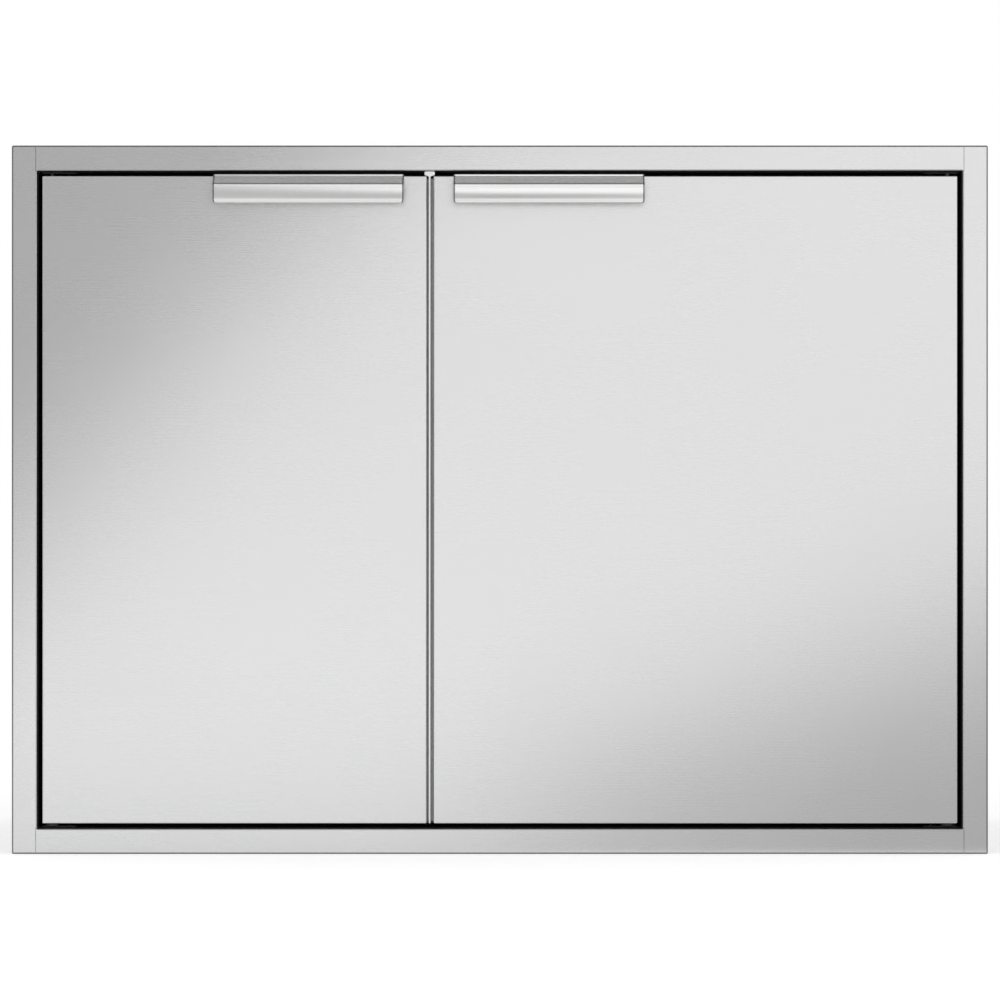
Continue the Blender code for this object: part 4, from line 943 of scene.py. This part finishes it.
def stile(side, trim):
    out = -inboard(side)
    outer_x = out * HALF_WIDTH
    seam_x = out * (HALF_WIDTH - trim.face + trim.seam_step)
    bottom = trim.face
    top = HEIGHT - trim.face
    bm = bmesh.new()
    width = abs(outer_x - seam_x)
    plate(bm, (min(outer_x, seam_x), 0.0, 0.0), (width, 0.0, 0.0), (0.0, 0.0, HEIGHT))
    for height in (bottom + SEAT_GAP, top - SEAT_GAP):
        score(bm, (0.0, 0.0, height), UP)
    fold_leg(bm, trim, lambda p: not near(p.x, seam_x), outer_x)
    inside = free_edges(bm, lambda p: near(p.x, seam_x) and bottom < p.z < top)
    edge = fold(bm, inside, (-out * trim.seam_step, 0.0, 0.0))
    fold_recess(bm, trim, edge, Vector((-out, 0.0, 0.0)))
    return trim_piece(f"trim_stile_{side}", bm, trim, 0)


def rail(place, trim):
    up = 1.0 if place == "top" else -1.0
    opening = HALF_WIDTH - trim.face
    end_x = opening + trim.seam_step - trim.seam
    wall_x = opening - SEAT_GAP
    outer_z = HEIGHT if place == "top" else 0.0
    inner_z = outer_z - up * trim.face
    bm = bmesh.new()
    plate(bm, (-end_x, 0.0, min(outer_z, inner_z)), (end_x * 2, 0.0, 0.0), (0.0, 0.0, trim.face))
    for x in (-wall_x, wall_x):
        score(bm, (x, 0.0, 0.0), (1.0, 0.0, 0.0))
    fold_leg(bm, trim, lambda p: near(p.z, outer_z))
    inside = free_edges(bm, lambda p: near(p.z, inner_z) and abs(p.x) < wall_x)
    fold_recess(bm, trim, inside, -UP * up)
    holes = [pin_hole(side) for side in SIDES] if place == "top" else ()
    return trim_piece(f"trim_rail_{place}", bm, trim, 2, holes)


class PANTRY_OT_trim_frame(bpy.types.Operator):
    """Folds the four sections of the trim frame with smooth bends"""

    bl_idname = "pantry.trim_frame"
    bl_label = "Trim Frame"

    def execute(self, context):
        trim = settings("trim")
        for side in SIDES:
            dress(stile(side, trim), "cabinet", "brushed", f"frame_stile_{side}")
        for place in ("top", "bottom"):
            dress(rail(place, trim), "cabinet", "brushed", f"frame_rail_{place}")
        return {"FINISHED"}


# Box

def side_panel(side, panel):
    """Side of the box: a turned front flange and two fields pressed outwards."""
    low, high = span(f"side_panel_{side}")
    wall_x, flange_x = sorted((low.x, high.x), key=abs)
    points = [(flange_x, low.y, low.z), (wall_x, low.y, low.z), (wall_x, high.y, low.z)]
    bm = bmesh.new()
    folded_strip(bm, points, UP * (high.z - low.z), Vector((inboard(side), -1.0, 0.0)))
    front = span(f"shelf_standard_{side}_wall_front")[1].y
    rear = span(f"shelf_standard_{side}_wall_rear")[0].y
    for depth in (front, rear):
        score(bm, (0.0, depth, 0.0), FORWARD)
    score(bm, (low + high) / 2, UP)
    for face in [f for f in bm.faces if near(f.calc_center_median().y, (front + rear) / 2)]:
        press(bm, face, panel)
    return shade(sheet_piece(f"box_side_{side}", bm, panel, "plain_side_steel"))


class PANTRY_OT_box(bpy.types.Operator):
    """Presses the stiffened panels of the box and finishes the divider and post"""

    bl_idname = "pantry.box"
    bl_label = "Box Panels"

    def execute(self, context):
        panel = settings("panel")
        for side in SIDES:
            dress(side_panel(side, panel), "cabinet", "plain", f"side_panel_{side}")
        divider = span("divider_panel")
        cut = (divider[0].x + divider[1].x) / 2
        for node_name, name, normal, lip, holes in (
            ("bottom_panel", "box_floor", UP, panel.lip, ()),
            ("top_panel", "box_ceiling", -UP, panel.lip, [pin_hole(side) for side in SIDES]),
            ("back_panel", "box_back", FORWARD, 0.0, ()),
        ):
            low, high = span(node_name)
            axis = 2 if normal.z else 1
            wall = high[axis] - low[axis]
            plane = high[axis] if normal[axis] > 0.0 else low[axis]
            low[axis] = high[axis] = plane
            sheet = pan(name, low, high, normal, wall, lip, panel, "plain_steel", cut)
            if holes:
                cut_holes(sheet, rounds=holes)
            dress(shade(sheet), "cabinet", "plain", node_name)
        refinish("plain_side_steel", "divider_panel")
        refinish("upright_steel", "mullion_post")
        return {"FINISHED"}


# Strip between the doors

def prism(name, outline, along, look, rounding=0.0):
    """A flat outline drawn out along a vector, with its edges rounded where that is given."""
    bm = bmesh.new()
    face = bm.faces.new([bm.verts.new(point) for point in outline])
    for item in bmesh.ops.extrude_face_region(bm, geom=[face])["geom"]:
        if isinstance(item, bmesh.types.BMVert):
            item.co += along
    bmesh.ops.recalc_face_normals(bm, faces=bm.faces[:])
    obj = new_piece(name, bm, look)
    if rounding:
        modify(
            obj, "BEVEL", width=rounding, segments=3, limit_method="ANGLE",
            angle_limit=math.radians(50),
        )
        bake(obj)
    return shade(obj)


def rounded_box(name, low, high, rounding, look):
    bm = bmesh.new()
    add_box(bm, low, high)
    bmesh.ops.bevel(bm, geom=bm.edges[:], offset=rounding, segments=3, affect="EDGES", profile=0.5)
    return shade(new_piece(name, bm, look))


def strip_outline(sizes, low, high, shoulder):
    """Front outline of the strip: a thin web that flares into a rounded head at its top."""
    web = sizes.web / 2
    head = sizes.head / 2
    half = rounded(
        [(web, low.z), (web, shoulder - sizes.flare), (head, shoulder), (head, high.z),
         (0.0, high.z)],
        [0.0, sizes.flare, sizes.shoulder, sizes.flare, 0.0],
    )[:-1]
    half += [Vector((-point.x, point.y)) for point in reversed(half)]
    middle = (low.x + high.x) / 2
    return [(middle + point.x, low.y, point.y) for point in half]


class PANTRY_OT_strip(bpy.types.Operator):
    """Shapes the thin strip between the doors, with its flared head and the seals on its foot"""

    bl_idname = "pantry.strip"
    bl_label = "Strip Between Doors"

    def execute(self, context):
        sizes = settings("strip")
        low, high = span("mullion_strip")
        door_low, door_high = span("door_skin_left")
        middle = (low.x + high.x) / 2
        outline = strip_outline(sizes, low, high, door_high.z + sizes.lift)
        back = -FORWARD * sizes.depth
        web = prism("strip_web", outline, back, "strip_steel", sizes.edge)
        dress(web, "cabinet", "bright", "mullion_strip")
        web_x, foot_x = sizes.web / 2, sizes.foot / 2
        foot_y = sizes.foot_front
        half = [
            (web_x, sizes.depth), (web_x, foot_y), (foot_x, foot_y),
            (foot_x, foot_y + sizes.foot_gauge),
        ]
        section = [(-x, y) for x, y in reversed(half)] + half
        outline = [(middle + x, y, low.z) for x, y in section]
        along = UP * (high.z - sizes.foot_gauge - low.z)
        # Painted shade: the foot seen through the gaps takes a dark copy of the plain steel
        foot = prism("strip_foot", outline, along, "shaded_steel")
        dress(foot, "cabinet", "bright")
        front = sizes.pad_front
        rear = front + sizes.pad_gauge
        for side in SIDES:
            reaches = (web_x + SNUG, sizes.pad_reach)
            left, right = sorted(middle - inboard(side) * reach for reach in reaches)
            for place, start, end in (
                ("top", door_high.z - sizes.pad_overlap, high.z - SNUG * 2),
                ("bottom", low.z + SNUG, door_low.z + sizes.pad_overlap),
            ):
                pad = rounded_box(
                    f"strip_pad_{side}_{place}", (left, front, start), (right, rear, end), SNUG,
                    "black_rubber",
                )
                dress(pad, "cabinet", "seal")
        refinish("black_rubber", "edge_lining")
        return {"FINISHED"}


# Doors

def liner(side):
    """Inner sheet of a door: a field pressed outwards and a slot for the sprung pin's grip."""
    low, high = span(f"door_liner_{side}")
    bm = bmesh.new()
    plate(bm, (high.x, high.y, low.z), (low.x - high.x, 0.0, 0.0), (0.0, 0.0, high.z - low.z))
    press(bm, bm.faces[:][0], settings("liner"))
    obj = sheet_piece(f"liner_{side}", bm, settings("liner"), "plain_steel")
    pin_low, pin_high = span(f"hinge_pin_{side}")
    x = pin_high.x - PIN_RADIUS if side == "left" else pin_low.x + PIN_RADIUS
    room = PIN_RADIUS + GRIP_CLEARANCE
    slot_low = (x - room, low.y - OVERRUN, pin_low.z - PIN_TRAVEL - GRIP_CLEARANCE)
    slot_high = (x + room, high.y + OVERRUN, pin_low.z + PIN_RADIUS + room)
    cut_holes(obj, boxes=[(slot_low, slot_high)])
    return shade(obj)


def skin(side):
    """Outer pan of a door with the holes of its bush and pin."""
    low, high = span(f"door_skin_{side}")
    door = settings("door")
    low.y = high.y = 0.0
    obj = pan(
        f"skin_{side}", low, high, FORWARD, door.thickness, door.flange, door, "brushed_front",
    )
    bush_low, bush_high = span(f"hinge_bush_{side}")
    axis = (bush_low + bush_high) / 2
    cut_holes(obj, rounds=[
        (Vector((axis.x, axis.y, edge.z - OVERRUN)), OVERRUN * 2, radius)
        for edge, radius in ((low, BUSH_HOLE), (high, PIN_HOLE))
    ])
    return shade(obj)


class PANTRY_OT_doors(bpy.types.Operator):
    """Folds the door skins and presses the liners"""

    bl_idname = "pantry.doors"
    bl_label = "Doors"

    def execute(self, context):
        for side in SIDES:
            dress(skin(side), f"{side}_door", "brushed", f"door_skin_{side}")
            dress(liner(side), f"{side}_door", "plain", f"door_liner_{side}")
        return {"FINISHED"}


class PANTRY_OT_door_seals(bpy.types.Operator):
    """Sweeps the ring seals round the backs of the doors"""

    bl_idname = "pantry.door_seals"
    bl_label = "Door Seals"

    def execute(self, context):
        seal = settings("seal")
        for side in SIDES:
            low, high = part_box(f"door_gasket_{side}")
            middle = (low + high) / 2
            ring = grow(
                f"ring_seal_{side}", "ring seal", "black_rubber",
                ring_width=high.x - low.x - seal.width, ring_height=high.z - low.z - seal.width,
                corner=seal.corner, base_width=seal.width, base=seal.base, bulb=seal.bulb,
                rib=seal.rib, centre=(middle.x, low.y, middle.z),
            )
            dress(ring, f"{side}_door", "seal", f"door_gasket_{side}")
        return {"FINISHED"}


# Edge pulls

def pull_outline(pull, top, low):
    """Corners and radii of the pull's outer line, from its flange over its hollow front."""
    steps = 16
    height = top - pull.slope_drop - low
    parts = [(step + 0.5) / steps for step in range(steps)]
    angles = [-9 + 34 * part - 8 * part ** 2 for part in parts]
    leans = [math.tan(math.radians(angle)) for angle in angles]
    depth = -pull.reach + sum(leans) * height / steps
    points = [
        (pull.flange, top), (-pull.start, top), (-pull.start, top - pull.step),
        (depth, top - pull.slope_drop),
    ]
    drawn = steps - 3
    for step, lean in enumerate(leans[:drawn]):
        depth -= lean * height / steps
        points.append((depth, top - pull.slope_drop - height * (step + 1) / steps))
    points += [(-pull.reach, low), (-pull.reach + pull.lip, low)]
    radii = [0.0, pull.top_radius, pull.step_radius, pull.crease]
    radii += [0.0] * drawn + [pull.lip_radius, 0.0]
    return [Vector(point) for point in points], radii


def offset_line(points, distance):
    """The line shifted sideways, to the left of its run, with mitred corners."""
    shifted = []
    for index, point in enumerate(points):
        runs = []
        if index:
            runs.append((point - points[index - 1]).normalized())
        if index < len(points) - 1:
            runs.append((points[index + 1] - point).normalized())
        normals = [Vector((-run.y, run.x)) for run in runs]
        middle = sum(normals, Vector((0.0, 0.0))).normalized()
        shifted.append(point + middle * distance / middle.dot(normals[0]))
    return shifted


def pull_row(bm, point, pull, low, high):
    """Four vertices across the pull, drawn in where its lower corners are rounded."""
    inset = 0.0
    rise = point.y - low.z
    if point.x < -pull.start - pull.gauge * 2 and rise < pull.corner:
        rest = min(pull.corner, pull.corner - rise)
        inset = pull.corner - math.sqrt(pull.corner ** 2 - rest ** 2)
    left = low.x + inset
    right = high.x - inset
    return [
        bm.verts.new((x, point.x, point.y))
        for x in (left, left + pull.end, right - pull.end, right)
    ]


def pull_piece(side, pull):
    """A bent sheet drawn as a closed section, its lower corners rounded."""
    low, high = span(f"door_handle_{side}")
    low.z = high.z - pull.height
    points, radii = pull_outline(pull, high.z, low.z)
    inside = offset_line(points, pull.gauge)
    inside = rounded(inside, [0.0001 if radius else 0.0 for radius in radii])
    bm = bmesh.new()
    outer, inner = (
        [pull_row(bm, point, pull, low, high) for point in line]
        for line in (rounded(points, radii), inside)
    )
    for rows in (outer, inner):
        for one, other in zip(rows, rows[1:]):
            for part in range(3):
                face = bm.faces.new((one[part], one[part + 1], other[part + 1], other[part]))
                # Painted shade: the outer bands along the cut ends take the darkest copy of the
                # pull steel
                face.material_index = 2 if part != 1 and one[0].co.y < 0.0 else 0
    for end in (0, 3):
        for one, other, under, beyond in zip(outer, outer[1:], inner, inner[1:]):
            bm.faces.new((one[end], other[end], beyond[end], under[end]))
    for one, other in ((outer[0], inner[0]), (outer[-1], inner[-1])):
        for part in range(3):
            bm.faces.new((one[part], one[part + 1], other[part + 1], other[part]))
    bmesh.ops.recalc_face_normals(bm, faces=bm.faces[:])
    obj = new_piece(f"pull_{side}", bm, "pull_steel", "pull_edges", "pull_ends")
    # Painted shade: the rounded edges take the darker copy of the pull steel
    modify(
        obj, "BEVEL", limit_method="ANGLE", angle_limit=math.radians(60), width=pull.edge,
        segments=3, material=1,
    )
    bake(obj)
    # Painted shade: the faces under the lip take the darker pull steel, for the dark line beneath
    # it
    for face in obj.data.polygons:
        if face.normal.z < -0.8 and face.center.z < low.z + pull.corner:
            face.material_index = 1
    return shade(obj)


class PANTRY_OT_pulls(bpy.types.Operator):
    """Bends the edge pulls with their hollow fronts and rounded lips"""

    bl_idname = "pantry.pulls"
    bl_label = "Edge Pulls"

    def execute(self, context):
        pull = settings("pull")
        for side in SIDES:
            dress(pull_piece(side, pull), f"{side}_door", "bright", f"door_handle_{side}")
        return {"FINISHED"}


# Hinges and catches

class PANTRY_OT_hinges(bpy.types.Operator):
    """Winds the pins' springs and finishes brackets, bushes and pins"""

    bl_idname = "pantry.hinges"
    bl_label = "Hinges"

    def execute(self, context):
        for side in SIDES:
            low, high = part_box(f"pin_spring_{side}")
            anchor = Vector(((low.x + high.x) / 2, (low.y + high.y) / 2, low.z))
            rise = high.z - low.z - SPRING_WIRE * 2
            obj = grow(
                f"spring_coil_{side}", "coil", "zinc_plate", turns=SPRING_TURNS,
                radius=(high.x - low.x) / 2 - SPRING_WIRE, wire=SPRING_WIRE, rise=rise,
                foot=anchor + UP * SPRING_WIRE,
            )
            dress(obj, f"{side}_door", "zinc", f"pin_spring_{side}")
            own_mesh(obj)
            for place in ("upper", "lower"):
                refinish("black_coat", f"hinge_bracket_{place}_{side}")
            refinish("black_nylon", f"hinge_bush_{side}")
            refinish("pin_steel", f"hinge_pin_{side}")
            refinish("zinc_plate", f"pin_bracket_{side}")
        return {"FINISHED"}


class PANTRY_OT_catches(bpy.types.Operator):
    """Builds the magnetic catches with their pole plates and finishes the strike plates"""

    bl_idname = "pantry.catches"
    bl_label = "Catches"

    def execute(self, context):
        sizes = settings("catch")
        for side in SIDES:
            low, high = span(f"magnet_catch_{side}")
            case = rounded_box(
                f"catch_case_{side}", (low.x, low.y + sizes.rounding, low.z), high,
                sizes.rounding, "catch_case",
            )
            dress(case, "cabinet", "magnet_case", f"magnet_catch_{side}")
            left = low.x + sizes.pole_inset
            right = high.x - sizes.pole_inset
            rear = low.y + sizes.pole_depth
            for place, foot in (
                ("lower", low.z + sizes.low_pole), ("upper", high.z - sizes.high_pole),
            ):
                pole = rounded_box(
                    f"catch_pole_{side}_{place}", (left, low.y, foot),
                    (right, rear, foot + sizes.pole_gauge), sizes.pole_edge, "zinc_plate",
                )
                dress(pole, "cabinet", "zinc")
            refinish("zinc_plate", f"strike_plate_{side}")
        return {"FINISHED"}


# Shelves

def shelf_piece(node_name, shelf):
    low, high = span(node_name)
    front = [(low.y, high.z), (low.y, low.z), (low.y + shelf.turn, low.z)]
    rear = [(high.y - shelf.turn, low.z), (high.y, low.z), (high.y, high.z)]
    bm = bmesh.new()
    profile = [(low.x, y, z) for y, z in rear + front]
    folded_strip(bm, profile, (high.x - low.x, 0.0, 0.0), UP)
    name = node_name.replace("shelf_", "shelf_plate_")
    return shade(sheet_piece(name, bm, shelf, "shelf_steel"))


class PANTRY_OT_shelves(bpy.types.Operator):
    """Folds the shelves and finishes their uprights and runners"""

    bl_idname = "pantry.shelves"
    bl_label = "Shelves"

    def execute(self, context):
        shelf = settings("shelf")
        for side in SIDES:
            for level in ("lower", "upper"):
                node_name = f"shelf_{side}_{level}"
                dress(shelf_piece(node_name, shelf), "cabinet", "brushed", node_name)
            for place in ("wall", "divider"):
                for level in ("lower", "upper"):
                    refinish("zinc_plate", f"shelf_runner_{side}_{place}_{level}")
                for end in ("front", "rear"):
                    refinish("upright_steel", f"shelf_standard_{side}_{place}_{end}")
        return {"FINISHED"}


# Screws and rivets

def bracket_screws():
    """Points and facings of the hinge brackets' screws."""
    offset = 0.0160
    half_pitch = 0.0048
    points = []
    for side in SIDES:
        bush_low, bush_high = span(f"hinge_bush_{side}")
        x = (bush_low.x + bush_high.x) / 2 + inboard(side) * offset
        for place, facing in (("upper", -UP), ("lower", UP)):
            low, high = span(f"hinge_bracket_{place}_{side}")
            z = low.z if place == "upper" else low.z + BRACKET_GAUGE
            for shift in (-half_pitch, half_pitch):
                points.append(((x, (low.y + high.y) / 2 + shift, z - facing.z * SNUG), facing))
    return points


def upright_screws():
    """Points and facings of the shelf uprights' screws, between their slots."""
    pitch = 0.05
    points = []
    for side in SIDES:
        for place, towards in (("wall", inboard(side)), ("divider", -inboard(side))):
            for end in ("front", "rear"):
                low, high = span(f"shelf_standard_{side}_{place}_{end}")
                x = high.x if towards > 0 else low.x
                for index in (1, 6, 10):
                    point = x, (low.y + high.y) / 2, low.z + pitch * index
                    points.append((point, Vector((towards, 0.0, 0.0))))
    return points


def pull_screws(side):
    """Points and facings of the screws in a pull's flange."""
    inset = 0.022
    depth = 0.0095
    low, high = span(f"door_handle_{side}")
    return [((x, depth, high.z), UP) for x in (low.x + inset, high.x - inset)]


class PANTRY_OT_screws(bpy.types.Operator):
    """Sets socket screws in the pulls, hinge brackets and shelf uprights"""

    bl_idname = "pantry.screws"
    bl_label = "Screws"

    def execute(self, context):
        sizes = settings("fastener")
        small = sizes.small_head, sizes.small_height
        large = sizes.head, sizes.head_height
        sets = [
            ("bracket_screws", "cabinet", bracket_screws(), small, "black_coat"),
            ("upright_screws", "cabinet", upright_screws(), small, "screw_steel"),
        ]
        sets += [
            (f"pull_screws_{side}", f"{side}_door", pull_screws(side), large, "screw_steel")
            for side in SIDES
        ]
        for name, body, points, (head, height), look in sets:
            obj = grow(
                name, "screws", look, points, head=head, height=height,
                socket=sizes.socket * head / sizes.head, seed=sizes.seed,
            )
            dress(obj, body, "bright")
        return {"FINISHED"}


def box_rivet_rows():
    """Rows (start, end, facing) on the sides of the box, which hold back, floor and ceiling."""
    inset = 0.0060
    end = 0.03
    front = 0.045
    rows = []
    for side in SIDES:
        low, high = span(f"side_panel_{side}")
        out = -inboard(side)
        x = out * (min(abs(low.x), abs(high.x)) + settings("panel").gauge)
        rear = high.y - inset
        rows.append(((x, rear, low.z + end), (x, rear, high.z - end), Vector((out, 0.0, 0.0))))
        for z in (low.z + inset, high.z - inset):
            rows.append(((x, front, z), (x, high.y - end, z), Vector((out, 0.0, 0.0))))
    return rows


def door_rivet_rows(side):
    """Rows (start, end, facing) round the liner of a door."""
    inset = 0.0210
    low, high = span(f"door_liner_{side}")
    left, right = low.x + inset, high.x - inset
    bottom, top = low.z + inset * 3, high.z - inset * 3
    ends = [((left, z), (right, z)) for z in (low.z + inset, high.z - inset)]
    ends += [((x, bottom), (x, top)) for x in (left, right)]
    return [[(x, high.y, z) for x, z in pair] + [-FORWARD] for pair in ends]


class PANTRY_OT_rivets(bpy.types.Operator):
    """Sets rivet rows along the box's flanges and round the door liners"""

    bl_idname = "pantry.rivets"
    bl_label = "Rivets"

    def execute(self, context):
        sizes = settings("fastener")
        sets = {"cabinet": box_rivet_rows()}
        sets.update({f"{side}_door": door_rivet_rows(side) for side in SIDES})
        for body, rows in sets.items():
            points = [(point, facing) for start, end, facing in rows for point in (start, end)]
            chains = [(first, first + 1) for first in range(0, len(points), 2)]
            obj = grow(
                f"rivets_{body}", "rivets", "screw_steel", points, chains, head=sizes.rivet,
                height=sizes.rivet_height, pitch=sizes.pitch,
            )
            dress(obj, body, "bright")
        return {"FINISHED"}


# Studio

CARD_FRONT = -0.62
WIDE = (5.0, 0.0, 0.0)
CORNER_SHADE = (((0.3476, 0.0, -0.9376), -0.005, 0.26), ((1.0, 0.0, 0.0), -0.02, 0.30))

# Each card's corner, its two sides, its brightness or None for the setting, and its faded edges
CARDS = {
    "card_upper_left": (
        (-2.5, CARD_FRONT, 0.0), WIDE, (0.0, 0.0, 2.5), None,
        (((-0.7516, 0.0, 0.6595), 0.575, 0.24), ((0.0, 0.0, -1.0), -0.92, 0.16)),
    ),
    "card_lower_right": (
        (-2.5, CARD_FRONT - 0.01, 0.0), WIDE, (0.0, 0.0, 2.5), None, CORNER_SHADE,
    ),
    "card_foreground": ((-2.5, CARD_FRONT, 0.001), WIDE, (0.0, 0.6, 0.0), None, CORNER_SHADE),
    "card_far_floor": (
        (-2.5, CARD_FRONT - 2.6, 0.002), WIDE, (0.0, 2.0, 0.0), 1.15,
        (((0.0, -1.0, 0.0), 0.90 - FACE_Y, 0.4),),
    ),
    "card_pulls": (
        (-0.6, CARD_FRONT - 0.02, 0.6), (1.2, 0.0, 0.0), (0.0, 0.0, 0.6), 0.34,
        (((0.0, 0.0, 1.0), 0.80, 0.12), ((0.0, 0.0, -1.0), -0.97, 0.11),
         ((1.0, 0.0, 0.0), -0.40, 0.20), ((-1.0, 0.0, 0.0), -0.22, 0.26)),
    ),
}


def emptied_tree(holder):
    """The node tree of a new material or world, without its nodes."""
    holder.use_nodes = True
    holder.node_tree.nodes.clear()
    return holder.node_tree


def light_path(tree, *names):
    """1 where a ray is of one of the named kinds."""
    rays = node(tree, "ShaderNodeLightPath").node.outputs
    total = rays[names[0]]
    for name in names[1:]:
        total = calc(tree, "MAXIMUM", total, rays[name])
    return total


def build_world(studio):
    """White behind the object, softer towards the sides and the back where steel reflects it."""
    world = bpy.data.worlds.new("studio")
    bpy.context.scene.world = world
    tree = emptied_tree(world)
    seen = light_path(tree, "Is Camera Ray", "Is Transmission Ray")
    mirrored = light_path(tree, "Is Glossy Ray")
    outwards = coordinates(tree, "Generated")
    parts = node(tree, "ShaderNodeSeparateXYZ", {0: outwards}).node.outputs
    frontal = calc(tree, "MULTIPLY", parts["Y"], -1.0)
    before = spread(tree, frontal, 0.42, 1.0, -0.25, 0.60, "SMOOTHSTEP")
    above = spread(tree, parts["Z"], 1.0, studio.overhead, 0.62, 0.74, "SMOOTHSTEP")
    reflected = calc(tree, "MULTIPLY", mirrored, calc(tree, "MULTIPLY", before, above))
    matt = calc(tree, "SUBTRACT", 1.0, calc(tree, "MAXIMUM", seen, mirrored))
    ambient = calc(tree, "MULTIPLY", matt, studio.ambient)
    total = calc(tree, "ADD", calc(tree, "ADD", seen, reflected), ambient)
    background = node(tree, "ShaderNodeBackground", {
        "Color": (1.0, 1.0, 1.0, 1.0), "Strength": total,
    })
    node(tree, "ShaderNodeOutputWorld", {"Surface": background})


def build_floor(studio):
    """Pale floor that reads as white to the camera and keeps the cabinet's shadow."""
    bm = bmesh.new()
    bmesh.ops.create_grid(bm, x_segments=1, y_segments=1, size=40.0)
    tree = emptied_tree(bpy.data.materials.new("pale_floor"))
    matt = node(tree, "ShaderNodeBsdfDiffuse", {"Color": (*studio.floor, 1.0)})
    camera_rays = light_path(tree, "Is Camera Ray", "Is Transmission Ray")
    seen = calc(tree, "MULTIPLY", camera_rays, 0.40)
    mirrored = calc(tree, "MULTIPLY", light_path(tree, "Is Glossy Ray"), 0.17)
    glow = node(tree, "ShaderNodeEmission", {"Strength": calc(tree, "ADD", seen, mirrored)})
    both = node(tree, "ShaderNodeAddShader", {0: matt, 1: glow})
    node(tree, "ShaderNodeOutputMaterial", {"Surface": both})
    floor = new_piece("studio_floor", bm, "pale_floor")


def card(name, corner, across, along, strength, edges):
    """A grey card that only reflections see; each edge (normal, offset, width) fades it out."""
    bm = bmesh.new()
    plate(bm, corner, across, along)
    tree = emptied_tree(bpy.data.materials.new(name))
    coords = coordinates(tree)
    cover = 1.0
    for normal, offset, width in edges:
        dot = node(tree, "ShaderNodeVectorMath", {0: coords, 1: normal}, operation="DOT_PRODUCT")
        start = offset - width / 2
        end = offset + width / 2
        fade = spread(tree, dot.node.outputs["Value"], 0.0, 1.0, start, end, "SMOOTHSTEP")
        cover = calc(tree, "MULTIPLY", cover, fade)
    glow = node(tree, "ShaderNodeEmission", {"Strength": strength})
    clear = node(tree, "ShaderNodeBsdfTransparent")
    mix = node(tree, "ShaderNodeMixShader", {0: cover, 1: clear, 2: glow})
    node(tree, "ShaderNodeOutputMaterial", {"Surface": mix})
    obj = new_piece(name, bm, name)
    for ray in ("camera", "diffuse", "transmission", "shadow"):
        setattr(obj, f"visible_{ray}", False)


def lamp(name, place, strength):
    """A soft square lamp aimed at the cabinet, which reflections don't see."""
    data = bpy.data.lights.new(name, "AREA")
    data.shape = "SQUARE"
    data.size = 2.0
    data.energy = strength
    obj = bpy.data.objects.new(name, data)
    bpy.context.scene.collection.objects.link(obj)
    obj.visible_glossy = False
    obj.location = place
    aim = Vector((0.0, 0.0, 0.3)) - Vector(place)
    obj.rotation_euler = aim.to_track_quat("-Z", "Y").to_euler()


def add_camera(studio):
    """A camera square on to the front, a hair to the right of its middle as in the photo."""
    data = bpy.data.cameras.new("camera")
    data.sensor_width = 36.0
    data.lens = data.sensor_width * studio.distance / studio.view
    data.clip_end = 100.0
    camera = bpy.data.objects.new("camera", data)
    bpy.context.scene.collection.objects.link(camera)
    camera.location = (0.00014, FACE_Y - studio.distance, studio.eye)
    camera.rotation_euler = (math.pi / 2, 0.0, 0.0)
    return camera


class PANTRY_OT_studio(bpy.types.Operator):
    """Sets the floor, world, lamps, shading cards and camera"""

    bl_idname = "pantry.studio"
    bl_label = "Studio"

    def execute(self, context):
        studio = settings("studio")
        build_world(studio)
        build_floor(studio)
        lamp("lamp_left", (-2.2, -2.6, 2.6), studio.lamp)
        lamp("lamp_right", (2.4, -2.2, 2.4), studio.lamp)
        for name, (corner, across, along, strength, edges) in CARDS.items():
            card(name, corner, across, along, strength or studio.shade, edges)
        context.scene.camera = add_camera(studio)
        context.scene.view_settings.view_transform = "Standard"
        return {"FINISHED"}


OPERATORS = (
    PANTRY_OT_trim_frame,
    PANTRY_OT_box,
    PANTRY_OT_strip,
    PANTRY_OT_doors,
    PANTRY_OT_door_seals,
    PANTRY_OT_pulls,
    PANTRY_OT_hinges,
    PANTRY_OT_catches,
    PANTRY_OT_shelves,
    PANTRY_OT_screws,
    PANTRY_OT_rivets,
    PANTRY_OT_studio,
)


class PANTRY_PT_dressing(bpy.types.Panel):
    """Lists the steps that dress the cabinet"""

    bl_idname = "PANTRY_PT_dressing"
    bl_label = "Pantry Cabinet"
    bl_space_type = "VIEW_3D"
    bl_region_type = "UI"
    bl_category = "Pantry"

    def draw(self, context):
        for operator in OPERATORS:
            self.layout.operator(operator.bl_idname)
        for name, group in SETTINGS.items():
            box = self.layout.box()
            box.label(text=group.__doc__)
            for key in group.__annotations__:
                box.prop(getattr(context.scene, name), key)


def register():
    for item in (*SETTINGS.values(), *OPERATORS, PANTRY_PT_dressing):
        bpy.utils.register_class(item)
    for name, group in SETTINGS.items():
        setattr(bpy.types.Scene, name, PointerProperty(type=group))


def unregister():
    for name in SETTINGS:
        delattr(bpy.types.Scene, name)
    for item in reversed((*SETTINGS.values(), *OPERATORS, PANTRY_PT_dressing)):
        bpy.utils.unregister_class(item)


def main():
    register()
    bpy.ops.pantry.trim_frame()
    bpy.ops.pantry.box()
    bpy.ops.pantry.strip()
    bpy.ops.pantry.doors()
    bpy.ops.pantry.door_seals()
    bpy.ops.pantry.pulls()
    bpy.ops.pantry.hinges()
    bpy.ops.pantry.catches()
    bpy.ops.pantry.shelves()
    bpy.ops.pantry.screws()
    bpy.ops.pantry.rivets()
    bpy.ops.pantry.studio()


if __name__ == "__main__":
    main()
